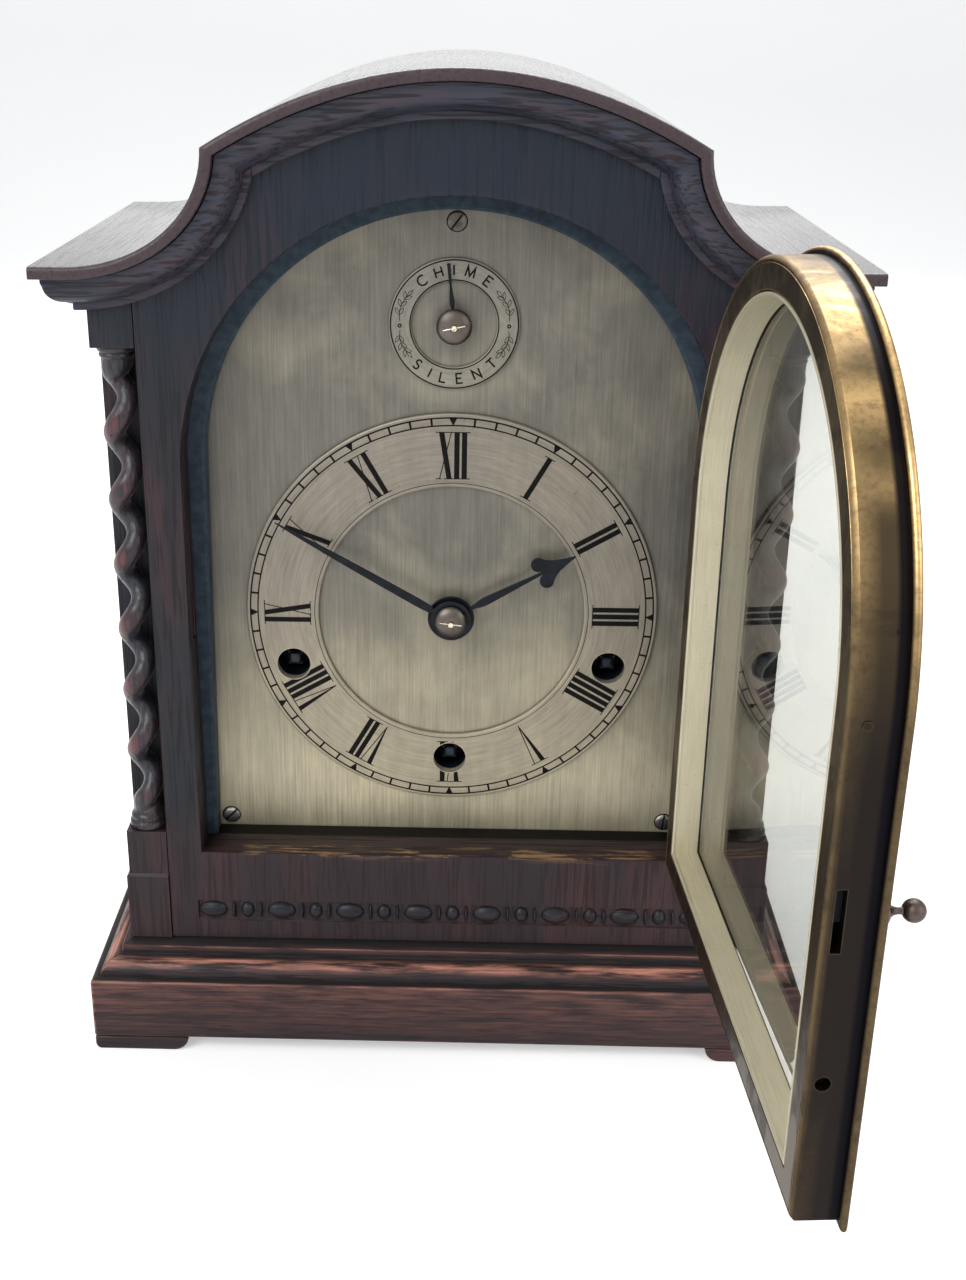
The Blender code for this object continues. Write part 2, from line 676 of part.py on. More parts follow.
def build_column_blocks(materials):
    """The square block over each column and the pedestal with its raised panel below."""
    wood = materials["oak_case"]
    inner = CASE_HALF_WIDTH - COLUMN_BAY
    back = FRONT_Y + COLUMN_BAY - SEAT
    top = SHOULDER_Z - ROOF_THICKNESS - SEAT
    levels = [
        (BODY_Z + SEAT, PEDESTAL_RAISE),
        (BODY_Z + PEDESTAL_PANEL, PEDESTAL_RAISE),
        (BODY_Z + PEDESTAL_PANEL + PEDESTAL_RAISE, 0.0),
        (BODY_Z + PEDESTAL_HEIGHT, 0.0),
    ]
    for side, word in ((-1, "left"), (1, "right")):
        xs = sorted((side * inner, side * CASE_HALF_WIDTH))
        low = (xs[0], FRONT_Y, SHOULDER_Z - TOP_BLOCK_DROP)
        box(f"top_block_{word}", low, (xs[1], back, top), wood)
        sections = []
        for z, proud in levels:
            outer = side * (CASE_HALF_WIDTH + proud)
            front = FRONT_Y - proud
            sections.append(
                [(side * inner, front, z), (outer, front, z), (outer, back, z), (side * inner, back, z)]
            )
        loft(f"pedestal_{word}", sections, wood)


# Bead and reel


def bead_profile():
    """(along, radius) points of the strip: a long bead, a reel, a round bead and a reel."""
    space = (BEAD_PITCH - BEAD_LONG - BEAD_ROUND) / 2
    neck = 0.9 * MM

    def bead(start, length, radius, steps):
        angles = [math.pi * (i + 0.5) / steps for i in range(steps)]
        middle = start + length / 2
        return [
            (middle - length / 2 * math.cos(a), max(neck, radius * math.sin(a))) for a in angles
        ]

    def reel(start):
        left = start + (space - REEL_THICKNESS) / 2
        right = left + REEL_THICKNESS
        edge = REEL_THICKNESS / 4
        rim = BEAD_RADIUS * 0.93
        return [(left, neck), (left + edge, rim), (right - edge, rim), (right, neck)]

    points = [(STRIP_LEFT, neck)]
    for number in range(BEAD_REPEATS):
        left = STRIP_LEFT + number * BEAD_PITCH
        points += bead(left, BEAD_LONG, BEAD_RADIUS, 6)
        points += reel(left + BEAD_LONG)
        points += bead(left + BEAD_LONG + space, BEAD_ROUND, BEAD_RADIUS * 0.95, 4)
        points += reel(left + BEAD_PITCH - space)
    return points + bead(STRIP_RIGHT - BEAD_LONG, BEAD_LONG, BEAD_RADIUS, 6) + [(STRIP_RIGHT, neck)]


def build_bead_and_reel(materials):
    """A half-round turned strip lying in its channel along the foot of the front."""
    flat_y = FRONT_Y + CHANNEL_DEPTH - SEAT
    centre_z = BODY_Z + BEAD_RISE
    sections = []
    for x, radius in bead_profile():
        ring = []
        for i in range(BEAD_SIDES + 1):
            angle = math.pi * i / BEAD_SIDES
            ring.append((x, flat_y - radius * math.sin(angle), centre_z + radius * math.cos(angle)))
        sections.append(ring)
    loft("bead_and_reel", sections, materials["oak_case"], smooth_degrees=50)


# Dial


def winding_places():
    side_x, side_z = WINDING_SIDE
    return (("left", -side_x, side_z), ("right", side_x, side_z), ("centre", 0.0, -WINDING_LOW))


def build_dial(materials):
    """The margin board, the arched dial plate and its two raised rings."""
    frame_back = FRONT_Y + FRONT_THICKNESS
    plate_front = DIAL_Y + CHAPTER_THICKNESS + SEAT
    plate_back = plate_front + DIAL_THICKNESS
    sight_half = OPENING_HALF_WIDTH - MARGIN
    sight_bottom = SILL_Z - SILL_SHOW
    sight = arched(sight_half, sight_bottom, SPRING_Z)
    plate_half = sight_half + DIAL_HIDDEN_EDGE
    plate_bottom = sight_bottom - DIAL_HIDDEN_EDGE
    outer_half = CASE_HALF_WIDTH - COLUMN_BAY - SEAT
    black = materials["margin_black"]
    surround = arched(outer_half, SILL_Z - SURROUND_DROP, SPRING_Z)
    margin = prism("dial_surround", surround, frame_back + SEAT, plate_front - SEAT, black)
    cut(margin, prism("sight_tool", sight, frame_back - OVERCUT, plate_back, black))
    silver = materials["silvered"]
    plate = prism(
        "dial_plate", arched(plate_half, plate_bottom, SPRING_Z), plate_front, plate_back, silver
    )
    ring_back = DIAL_Y + CHAPTER_THICKNESS
    dial_centre = (0.0, DIAL_Z)
    chime_centre = (0.0, DIAL_Z + CHIME_RISE)
    chapter_outline = circle(CHAPTER_OUTER, dial_centre, 48)
    chime_outline = circle(CHIME_OUTER, chime_centre, 28)
    chapter = prism("chapter_ring", chapter_outline, DIAL_Y, ring_back, silver)
    chime = prism("chime_ring", chime_outline, DIAL_Y + CHIME_SET_BACK, ring_back, silver)

    def hole(name, centre, radius, sides):
        outline = circle(radius, centre, sides)
        return prism(name, outline, DIAL_Y - OVERCUT, plate_back + OVERCUT, silver)

    cut(chapter, hole("chapter_bore_tool", dial_centre, CHAPTER_INNER, 40))
    cut(chime, hole("chime_bore_tool", chime_centre, CHIME_INNER, 20))
    for word, x, z in winding_places():
        tool = hole(f"winding_tool_{word}", (x, DIAL_Z + z), WINDING_HOLE, 14)
        cut(plate, tool)
        cut(chapter, tool)
    cut(plate, hole("centre_tool", dial_centre, CENTRE_BORE, TURNED_SIDES))
    cut(plate, hole("pointer_tool", chime_centre, POINTER_BORE, TURNED_SIDES))


# Bezel door


def bezel_outline(inset, steps=BEZEL_ARCH_STEPS):
    """The outline of the closed bezel, moved in by an inset."""
    bottom = SILL_Z + BEZEL_LIFT + inset
    return arched(BEZEL_HALF_WIDTH - inset, bottom, SPRING_Z - BEZEL_SPRING_DROP, steps)


def bezel_sections(profile):
    """Sections of a moulded frame round the closed bezel; profile is (inset, depth from rear)."""
    rear_y = FRONT_Y - SEAT + BEZEL_DEPTH
    outline = list(reversed(bezel_outline(0.0)))
    sections = []
    for (x, z), (mx, mz) in zip(outline, mitres(outline, closed=True)):
        sections.append([(x + mx * d, rear_y - w, z + mz * d) for d, w in profile])
    return sections


def bezel_profile():
    """The brass frame: chamfered rear edge, rim, rounded flange, front moulding and glass lip."""
    chamfer = 1.2 * MM
    flange_back = BEZEL_DEPTH
    lip_back = GLASS_DEPTH + GLASS_THICKNESS + SEAT
    return [
        (0.0, chamfer),
        (chamfer, 0.0),
        (BEZEL_RAIL, 0.0),
        (BEZEL_RAIL, lip_back),
        (BEZEL_RAIL + BEZEL_LIP, lip_back),
        (BEZEL_RAIL + BEZEL_LIP, BEZEL_FRONT - 1.4 * MM),
        (BEZEL_RAIL - 1.4 * MM, BEZEL_FRONT),
        (2.2 * MM, BEZEL_FRONT),
        (0.4 * MM, BEZEL_FRONT - 0.4 * MM),
        (-BEZEL_FLANGE + 0.7 * MM, BEZEL_FRONT - 0.3 * MM),
        (-BEZEL_FLANGE, BEZEL_FRONT - 0.9 * MM),
        (-BEZEL_FLANGE + 0.4 * MM, flange_back),
        (0.0, flange_back),
    ]


def sight_profile():
    """The silvered lining: a small bead at the rear, then a slope in to the glass."""
    outer = BEZEL_RAIL + SEAT
    inner = outer + SIGHT_THICKNESS
    front = GLASS_DEPTH - SEAT
    return [
        (outer, 0.2 * MM),
        (outer + 0.3 * MM, -0.2 * MM),
        (inner, 0.0),
        (inner, 0.8 * MM),
        (inner - 0.3 * MM, 1.2 * MM),
        (inner + 0.5 * MM, front),
        (outer, front),
    ]


def build_bezel(materials):
    """The arched brass door with its sight ring and glass."""
    brass = materials["brass"]
    silver = materials["silvered"]
    rear_y = FRONT_Y - SEAT + BEZEL_DEPTH
    frame_rings = bezel_sections(bezel_profile())
    frame = loft("bezel_frame", frame_rings, brass, closed=True, smooth_degrees=30)
    sight_rings = bezel_sections(sight_profile())
    ring = loft("sight_ring", sight_rings, silver, closed=True, smooth_degrees=30)
    glass_back = rear_y - GLASS_DEPTH
    glass = prism(
        "glass",
        bezel_outline(BEZEL_RAIL + SEAT),
        glass_back - GLASS_THICKNESS,
        glass_back,
        materials["glass"],
    )
    knob_x = -BEZEL_HALF_WIDTH + KNOB_INSET
    knob_z = DIAL_Z + KNOB_RISE
    pocket_half = LATCH_REACH + 2 * SEAT
    pocket = box(
        "pocket_tool",
        (-BEZEL_HALF_WIDTH - OVERCUT, rear_y - LATCH_DEPTHS[1] - SEAT, knob_z - pocket_half),
        (knob_x + LATCH_WIDTH / 2 + LATCH_ROOM, rear_y - LATCH_DEPTHS[0] + SEAT, knob_z + pocket_half),
        brass,
    )
    shaft_hole = bar(
        "shaft_tool",
        KNOB_SHAFT + PLAY,
        rear_y - BEZEL_FRONT - OVERCUT,
        rear_y - (LATCH_DEPTHS[0] + LATCH_DEPTHS[1]) / 2,
        Vector((knob_x, 0.0, knob_z)),
        brass,
    )
    catch_hole = turned(
        "catch_tool",
        [(-OVERCUT, CATCH_RADIUS), (KNOB_INSET - MM, CATCH_RADIUS)],
        Vector((-BEZEL_HALF_WIDTH, rear_y - CATCH_DEPTH, DIAL_Z - CATCH_DROP)),
        X_AXIS,
        brass,
        sides=TURNED_SIDES,
    )
    cut(frame, pocket, shaft_hole, catch_hole)
    half = HINGE_LENGTH / 2 + SEAT
    for number, height in enumerate(HINGE_HEIGHTS):
        middle = DIAL_Z + height
        relief = box(
            f"flange_relief_tool_{number}",
            (BEZEL_HALF_WIDTH + HINGE_SHOULDER, FRONT_Y - OVERCUT, middle - half),
            (HINGE_X + OVERCUT, FRONT_Y + OVERCUT, middle + half),
            brass,
        )
        cut(frame, relief)
    return [frame, ring, glass]


def build_bezel_hinges(materials):
    """Two small butt hinges: the outer knuckles on the case, the middle one on the bezel."""
    brass = materials["brass"]
    axis_y = FRONT_Y - HINGE_OUT
    leaf_y = FRONT_Y + SEAT
    half = HINGE_LENGTH / 2
    third = HINGE_LENGTH / 6
    radius = HINGE_RADIUS
    outer = [
        (-half, radius),
        (-third - SEAT, radius),
        (-third - SEAT, HINGE_PIN),
        (third + SEAT, HINGE_PIN),
        (third + SEAT, radius),
        (half, radius),
    ]
    moving = []
    for word, height in zip(("upper", "lower"), HINGE_HEIGHTS):
        base = Vector((HINGE_X, axis_y, DIAL_Z + height))
        knuckle = turned(f"case_hinge_{word}", outer, base, Z_AXIS, brass, sides=TURNED_SIDES)
        for end, span in (("low", (-half, -third - SEAT)), ("high", (third + SEAT, half))):
            leaf = box(
                f"case_leaf_tool_{word}_{end}",
                (HINGE_X, axis_y - radius / 2, base.z + span[0]),
                (HINGE_X + LEAF_THICKNESS, leaf_y + LEAF_THICKNESS, base.z + span[1]),
                brass,
            )
            join(knuckle, leaf)
        plate = box(
            f"case_plate_tool_{word}",
            (HINGE_X + HINGE_SHOULDER, leaf_y, base.z - half),
            (HINGE_X + radius + LEAF_WIDTH, leaf_y + LEAF_THICKNESS, base.z + half),
            brass,
        )
        join(knuckle, plate)
        sleeve = turned(
            f"bezel_hinge_{word}",
            [(-third, radius), (third, radius)],
            base,
            Z_AXIS,
            brass,
            sides=TURNED_SIDES,
        )
        arm = box(
            f"bezel_leaf_tool_{word}",
            (BEZEL_HALF_WIDTH + HINGE_SHOULDER + SEAT, axis_y - radius / 2, base.z - third),
            (HINGE_X, axis_y + SEAT, base.z + third),
            brass,
        )
        join(sleeve, arm)
        bore_half = third + OVERCUT
        bore = turned(
            f"pin_tool_{word}",
            [(-bore_half, HINGE_PIN + SEAT), (bore_half, HINGE_PIN + SEAT)],
            base,
            Z_AXIS,
            brass,
            sides=TURNED_SIDES,
        )
        cut(sleeve, bore)
        moving.append(sleeve)
    return moving


def knob_profile():
    """(distance in front of the bezel's rear face, radius): shaft, flared base, neck and ball."""
    front = BEZEL_FRONT + SEAT
    profile = [
        (LATCH_DEPTHS[1] + SEAT, KNOB_SHAFT),
        (front, KNOB_SHAFT),
        (front, KNOB_BASE),
        (front + 0.8 * MM, KNOB_BASE * 0.83),
        (front + 1.9 * MM, KNOB_BASE * 0.38),
        (front + 2.9 * MM, KNOB_BASE * 0.26),
    ]
    ball_centre = BEZEL_FRONT + KNOB_REACH
    for degrees in range(20, 181, 32):
        angle = math.radians(degrees)
        radius = max(0.3 * MM, KNOB_BALL * math.sin(angle))
        profile.append((ball_centre - KNOB_BALL * math.cos(angle), radius))
    return profile


def build_latch(materials):
    """The turned knob on the bezel and the tongue it swings out through the rim."""
    brass = materials["brass"]
    rear_y = FRONT_Y - SEAT + BEZEL_DEPTH
    knob_x = -BEZEL_HALF_WIDTH + KNOB_INSET
    knob_z = DIAL_Z + KNOB_RISE
    base = Vector((knob_x, rear_y, knob_z))
    knob = turned("door_knob", knob_profile(), base, -Y_AXIS, brass, sides=TURNED_SIDES)
    tongue = box(
        "latch_tongue",
        (knob_x - LATCH_WIDTH / 2, rear_y - LATCH_DEPTHS[1], knob_z - LATCH_WIDTH / 2),
        (knob_x + LATCH_WIDTH / 2, rear_y - LATCH_DEPTHS[0], knob_z + LATCH_REACH),
        brass,
    )
    return [knob, tongue]


def hang(pieces, name, pivot, parent=None, rotation=(0.0, 0.0, 0.0)):
    """Moves the pieces' origins to a pivot, carries them on an empty there and turns it."""
    empty = bpy.data.objects.new(name, None)
    bpy.context.collection.objects.link(empty)
    tools = set()
    for piece in pieces:
        tools |= {modifier.object for modifier in piece.modifiers}
    for obj in list(pieces) + sorted(tools, key=lambda tool: tool.name):
        obj.data.transform(Matrix.Translation(-pivot))
        obj.parent = empty
    if parent is None:
        empty.location = pivot
    else:
        empty.location = pivot - parent["pivot"]
        empty.parent = parent["empty"]
    empty.rotation_euler = rotation
    return {"empty": empty, "pivot": pivot}


# Hands and motion work


def gear_outline(teeth, module, tooth_share):
    """Tapered teeth round a wheel; tooth_share is the tooth's part of the pitch at the pitch line."""
    pitch_radius = teeth * module / 2
    tip, root = pitch_radius + 0.9 * module, pitch_radius - 1.25 * module
    pitch_angle = 2 * math.pi / teeth
    points = []
    for tooth in range(teeth):
        middle = tooth * pitch_angle
        for radius, share in ((root, -1.25), (tip, -0.45), (tip, 0.45), (root, 1.25)):
            angle = middle + share * tooth_share * pitch_angle / 2
            points.append((radius * math.sin(angle), radius * math.cos(angle)))
    return points


def shifted(outline, x, z, turn=0.0):
    """The outline turned clockwise and moved to (x, z)."""
    c, s = math.cos(turn), math.sin(turn)
    return [(x + a * c + b * s, z - a * s + b * c) for a, b in outline]


def hand_outline(half_widths, boss_radius):
    """A hand pointing up: a round boss, then (distance, half width) points out to the tip."""
    _, first_half = half_widths[0]
    start = math.asin(first_half / boss_radius)
    boss = []
    for i in range(BOSS_STEPS + 1):
        angle = start + (2 * math.pi - 2 * start) * i / BOSS_STEPS
        boss.append((boss_radius * math.sin(angle), boss_radius * math.cos(angle)))
    left = [(-half, along) for along, half in half_widths[1:]]
    right = [(half, along) for along, half in reversed(half_widths[1:])]
    return boss + left + right


def make_hand(name, shape, boss, lift, bore, material):
    """A flat hand pointing up from the dial's centre, bored for the pipe that carries it."""
    back = DIAL_Y - lift
    centre = (0.0, DIAL_Z)
    outline = shifted(hand_outline(shape, boss), *centre)
    hand = prism(name, outline, back - HAND_THICKNESS, back, material)
    axis = Vector((0.0, 0.0, DIAL_Z))
    cut(hand, bar(f"{name}_tool", bore, back - OVERCUT, back + OVERCUT, axis, material, TURNED_SIDES))
    return hand


def hour_shape():
    """(distance from the centre, half width) of the spade hour hand."""
    stem = [(7.0, 1.0), (9.3, 1.65), (14.0, 1.45), (31.6, 0.55)]
    spade = [(30.4, 1.5), (29.6, 3.0), (30.0, 4.3), (31.4, 5.0), (33.2, 4.7), (36.6, 2.4), (39.6, 1.1)]
    return [(a * MM, b * MM) for a, b in stem + spade] + [(HOUR_LENGTH, HAND_TIP)]


def minute_shape():
    """(distance from the centre, half width) of the slim minute hand."""
    stem = [(6.2, 0.9), (9.0, 1.6), (13.0, 1.5), (34.0, 0.9)]
    return [(a * MM, b * MM) for a, b in stem] + [(MINUTE_LENGTH, HAND_TIP)]


def domed(name, base, radius, height, material, stem=()):
    """A domed collet facing forward; stem lists (distance, radius) points behind its base."""
    shares = ((0.0, 0.98), (0.2, 1.0), (0.46, 0.92), (0.74, 0.71), (0.93, 0.4), (1.0, 0.2))
    profile = list(stem) + [(height * along, radius * across) for along, across in shares]
    return turned(name, profile, base, -Y_AXIS, material, sides=16)


def build_hands(materials):
    """The spade hour hand, the slim minute hand and the motion work that drives them."""
    blue = materials["blued_steel"]
    brass = materials["brass"]
    hour_hand = make_hand("hour_hand", hour_shape(), HOUR_BOSS, HOUR_LIFT, HOUR_PIPE + SEAT, blue)
    minute_hand = make_hand(
        "minute_hand", minute_shape(), MINUTE_BOSS, MINUTE_LIFT, CANNON_PIPE + SEAT, blue
    )
    centre = (0.0, DIAL_Z)
    axis = Vector((0.0, 0.0, DIAL_Z))
    cannon_back = FRONT_PLATE_Y - SEAT
    cannon_front = cannon_back - GEAR_THICKNESS
    hour_back = cannon_front - WHEEL_GAP
    hour_front = hour_back - GEAR_THICKNESS
    module = 2 * ARBOR_DISTANCE / (CANNON_TEETH + MINUTE_WHEEL_TEETH)
    hour_module = 2 * ARBOR_DISTANCE / (PINION_LEAVES + HOUR_TEETH)
    minute_front = DIAL_Y - MINUTE_LIFT - HAND_THICKNESS
    hour_pipe_front = DIAL_Y - HOUR_LIFT - HAND_THICKNESS

    cannon_teeth = shifted(gear_outline(CANNON_TEETH, module, CANNON_TOOTH), *centre)
    cannon = prism("cannon_wheel", cannon_teeth, cannon_front, cannon_back, brass)
    pipe_back = cannon_back - GEAR_THICKNESS / 6
    pipe_front = minute_front - COLLET_HEIGHT + SEAT
    join(cannon, bar("cannon_pipe_tool", CANNON_PIPE, pipe_front, pipe_back, axis, brass))

    hour_teeth = shifted(gear_outline(HOUR_TEETH, hour_module, HOUR_TOOTH), *centre)
    hour_wheel = prism("hour_wheel", hour_teeth, hour_front, hour_back, brass)
    pipe_back = hour_back - GEAR_THICKNESS / 6
    join(hour_wheel, bar("hour_pipe_tool", HOUR_PIPE, hour_pipe_front, pipe_back, axis, brass))
    bore_front, bore_back = hour_pipe_front - OVERCUT, hour_back + OVERCUT
    cut(hour_wheel, bar("hour_bore_tool", CANNON_PIPE + PLAY, bore_front, bore_back, axis, brass))

    collet_back = minute_front - SEAT
    collet_base = Vector((0.0, collet_back, DIAL_Z))
    collet = domed("hand_collet", collet_base, COLLET_RADIUS, COLLET_HEIGHT, brass)
    bore_front = collet_back - COLLET_HEIGHT * 0.8
    bore_back = collet_back + OVERCUT
    cut(collet, bar("collet_tool", CANNON_PIPE + SEAT, bore_front, bore_back, axis, brass))

    minute_x = ARBOR_DISTANCE * math.sin(MINUTE_WHEEL_SIDE)
    minute_z = DIAL_Z + ARBOR_DISTANCE * math.cos(MINUTE_WHEEL_SIDE)
    minute_wheel = build_minute_wheel(
        brass,
        (minute_x, minute_z),
        (cannon_front, cannon_back),
        (hour_front, hour_back),
        (module, hour_module),
    )
    return {
        "minute": [minute_hand, cannon, collet],
        "hour": [hour_hand, hour_wheel],
        "minute_wheel": [minute_wheel],
        "minute_wheel_pivot": Vector((minute_x, 0.0, minute_z)),
    }


def build_minute_wheel(brass, centre, wheel_depths, pinion_depths, modules):
    """The wheel that meshes with the cannon wheel, with its pinion under the hour wheel's teeth."""
    towards = math.atan2(-centre[0], -(centre[1] - DIAL_Z))
    # The cannon and hour wheels turn with their hands, so these teeth are set to meet them as they stand
    wheel_turn = meshing_turn(towards, MINUTE_ANGLE, CANNON_TEETH, MINUTE_WHEEL_TEETH)
    pinion_turn = meshing_turn(towards, HOUR_ANGLE, HOUR_TEETH, PINION_LEAVES)
    wheel = prism(
        "minute_wheel",
        shifted(gear_outline(MINUTE_WHEEL_TEETH, modules[0], CANNON_TOOTH), *centre, wheel_turn),
        *wheel_depths,
        brass,
    )
    pinion = prism(
        "minute_pinion_tool",
        shifted(gear_outline(PINION_LEAVES, modules[1], PINION_TOOTH), *centre, pinion_turn),
        pinion_depths[0] - PINION_OVERLAP,
        wheel_depths[0] + PINION_OVERLAP,
        brass,
    )
    join(wheel, pinion)
    return wheel


def meshing_turn(towards, driver_turn, driver_teeth, teeth):
    """The turn that puts a gap of this wheel opposite a tooth of its driver."""
    line = towards + math.pi
    driver_phase = ((line - driver_turn) / (2 * math.pi / driver_teeth)) % 1.0
    pitch = 2 * math.pi / teeth
    return towards + pitch * (0.5 + driver_phase)


def build_pointer(materials):
    """The chime and silent pointer with its domed collet and arbor."""
    blue = materials["blued_steel"]
    chime_z = DIAL_Z + CHIME_RISE
    back = DIAL_Y - POINTER_LIFT
    front = back - POINTER_THICKNESS
    shape = [(2.6 * MM, 0.5 * MM), (7.0 * MM, 0.95 * MM), (17.0 * MM, 0.75 * MM), (17.6 * MM, 0.4 * MM)]
    outline = shifted(hand_outline(shape, POINTER_BOSS), 0.0, chime_z)
    pointer = prism("chime_pointer", outline, front, back, blue)
    axis = Vector((0.0, 0.0, chime_z))
    cut(
        pointer,
        bar("pointer_bore_tool", POINTER_ARBOR + SEAT, front - OVERCUT, back + OVERCUT, axis, blue),
    )
    dome = front - SEAT
    stem_back = FRONT_PLATE_Y - SEAT - PLATE_THICKNESS
    stem = [(dome - stem_back, POINTER_ARBOR), (0.0, POINTER_ARBOR)]
    base = Vector((0.0, dome, chime_z))
    collet = domed(
        "pointer_collet", base, POINTER_COLLET, COLLET_HEIGHT, materials["brass"], stem
    )
    return [pointer, collet]


# Movement


def build_movement(materials):
    """Two brass plates on four pillars, three spring barrels with arbors, and the seat board."""
    brass = materials["brass"]
    low, high = DIAL_Z + PLATE_BOTTOM, DIAL_Z + PLATE_TOP
    plates = []
    for name, front in (("front_plate", FRONT_PLATE_Y), ("back_plate", BACK_PLATE_Y)):
        corners = (-PLATE_HALF_WIDTH, front, low), (PLATE_HALF_WIDTH, front + PLATE_THICKNESS, high)
        plates.append(box(name, *corners, brass))
    start = FRONT_PLATE_Y + PLATE_THICKNESS / 2
    end = BACK_PLATE_Y - SEAT
    waist = PILLAR_FOOT * 1.5
    pillar_profile = [
        (start, PILLAR_RADIUS),
        (start + PILLAR_FOOT, PILLAR_RADIUS),
        (start + waist, PILLAR_RADIUS * 0.7),
        (end - waist, PILLAR_RADIUS * 0.7),
        (end - PILLAR_FOOT, PILLAR_RADIUS),
        (end, PILLAR_RADIUS),
    ]
    reach = PLATE_HALF_WIDTH - PILLAR_INSET
    places = [(x, z) for x in (-reach, reach) for z in (low + PILLAR_INSET, high - PILLAR_INSET)]
    for number, (x, z) in enumerate(places):
        base = Vector((x, 0.0, z))
        join(plates[0], turned(f"pillar_tool_{number}", pillar_profile, base, Y_AXIS, brass, sides=8))
    arbors = []
    hole_front = FRONT_PLATE_Y - OVERCUT
    hole_back = BACK_PLATE_Y + PLATE_THICKNESS + OVERCUT
    for word, x, z in winding_places():
        centre = Vector((x, 0.0, DIAL_Z + z))
        name = f"arbor_hole_tool_{word}"
        hole = bar(name, ARBOR_RADIUS + PLAY, hole_front, hole_back, centre, brass)
        for plate in plates:
            cut(plate, hole)
        arbors.append(build_barrel(materials, word, centre))
    board_top = low - SEAT
    board_half = CASE_HALF_WIDTH - PANEL_THICKNESS - SEAT
    box(
        "seat_board",
        (-board_half, SEAT_BOARD_FRONT, board_top - SEAT_BOARD_THICKNESS),
        (board_half, BACK_PLATE_Y + PLATE_THICKNESS, board_top),
        materials["oak_inner"],
    )
    return arbors


def build_barrel(materials, word, centre):
    """A spring barrel and the winding arbor through it, squared at the front for the key."""
    brass = materials["brass"]
    steel = materials["steel"]
    start = FRONT_PLATE_Y + PLATE_THICKNESS + BARREL_SET_BACK
    end = start + BARREL_LENGTH
    wheel = BARREL_RADIUS + WHEEL_RIM
    profile = [
        (start, BARREL_RADIUS),
        (end, BARREL_RADIUS),
        (end, wheel),
        (end + WHEEL_THICKNESS, wheel),
    ]
    barrel = turned(f"barrel_{word}", profile, centre, Y_AXIS, brass, sides=18)
    bore_name = f"barrel_bore_tool_{word}"
    cut(barrel, bar(bore_name, ARBOR_RADIUS + PLAY, start - OVERCUT, end + OVERCUT, centre, brass))
    arbor_front = FRONT_PLATE_Y - 5 * SEAT
    arbor_back = BACK_PLATE_Y + PLATE_THICKNESS
    arbor = bar(f"winding_arbor_{word}", ARBOR_RADIUS, arbor_front, arbor_back, centre, steel)
    half = SQUARE_SIDE / 2
    square = box(
        f"square_tool_{word}",
        (centre.x - half, DIAL_Y + SQUARE_SET_BACK, centre.z - half),
        (centre.x + half, FRONT_PLATE_Y, centre.z + half),
        steel,
    )
    join(arbor, square)
    return arbor


def build_pendulum(materials):
    """The cock on the back plate and the rod and bob that swing from it."""
    brass = materials["brass"]
    back = BACK_PLATE_Y + PLATE_THICKNESS
    pivot = Vector((0.0, back + PENDULUM_SET_BACK, DIAL_Z + PENDULUM_RISE))
    cock_low = pivot.z + COCK_CLEARANCE
    box(
        "pendulum_cock",
        (-COCK_HALF_WIDTH, back + SEAT, cock_low),
        (COCK_HALF_WIDTH, pivot.y + COCK_HALF_WIDTH / 3, cock_low + COCK_HEIGHT),
        brass,
    )
    span = [(-PENDULUM_LENGTH, ROD_RADIUS), (2 * ROD_RADIUS, ROD_RADIUS)]
    rod = turned("pendulum", span, pivot, Z_AXIS, brass, sides=8)
    half = BOB_THICKNESS / 2
    edge = BOB_RADIUS * 0.55
    bob_profile = [(-half, edge), (-half * 0.55, BOB_RADIUS), (half * 0.55, BOB_RADIUS), (half, edge)]
    bob_centre = pivot - Z_AXIS * (PENDULUM_LENGTH - BOB_LIFT)
    join(rod, turned("bob_tool", bob_profile, bob_centre, Y_AXIS, brass, sides=18))
    return rod, pivot


def build_chime_rods(materials):
    """A block on the base board with tuned rods lying along the back of the case."""
    steel = materials["steel"]
    floor = FOOT_HEIGHT + BOARD_LIFT + BASE_BOARD_THICKNESS
    front = BACK_PLATE_Y + PLATE_THICKNESS + CHIME_ROD_PITCH
    left = -CASE_HALF_WIDTH + PANEL_THICKNESS + ROD_BLOCK_GAP
    depth = CHIME_ROD_PITCH * CHIME_ROD_COUNT
    low = (left, front, floor + SEAT)
    high = (left + ROD_BLOCK_WIDTH, front + depth, floor + ROD_BLOCK_HEIGHT)
    block = box("chime_rods", low, high, steel)
    root = ROD_BLOCK_WIDTH / 2
    for number in range(CHIME_ROD_COUNT):
        tip = CHIME_ROD_LENGTH - number * CHIME_ROD_SHORTER
        y = front + CHIME_ROD_PITCH * (number + 0.5)
        base = Vector((left, y, floor + CHIME_ROD_RISE))
        span = [(root, CHIME_ROD_RADIUS), (tip, CHIME_ROD_RADIUS)]
        join(block, turned(f"rod_tool_{number}", span, base, X_AXIS, steel, sides=8))


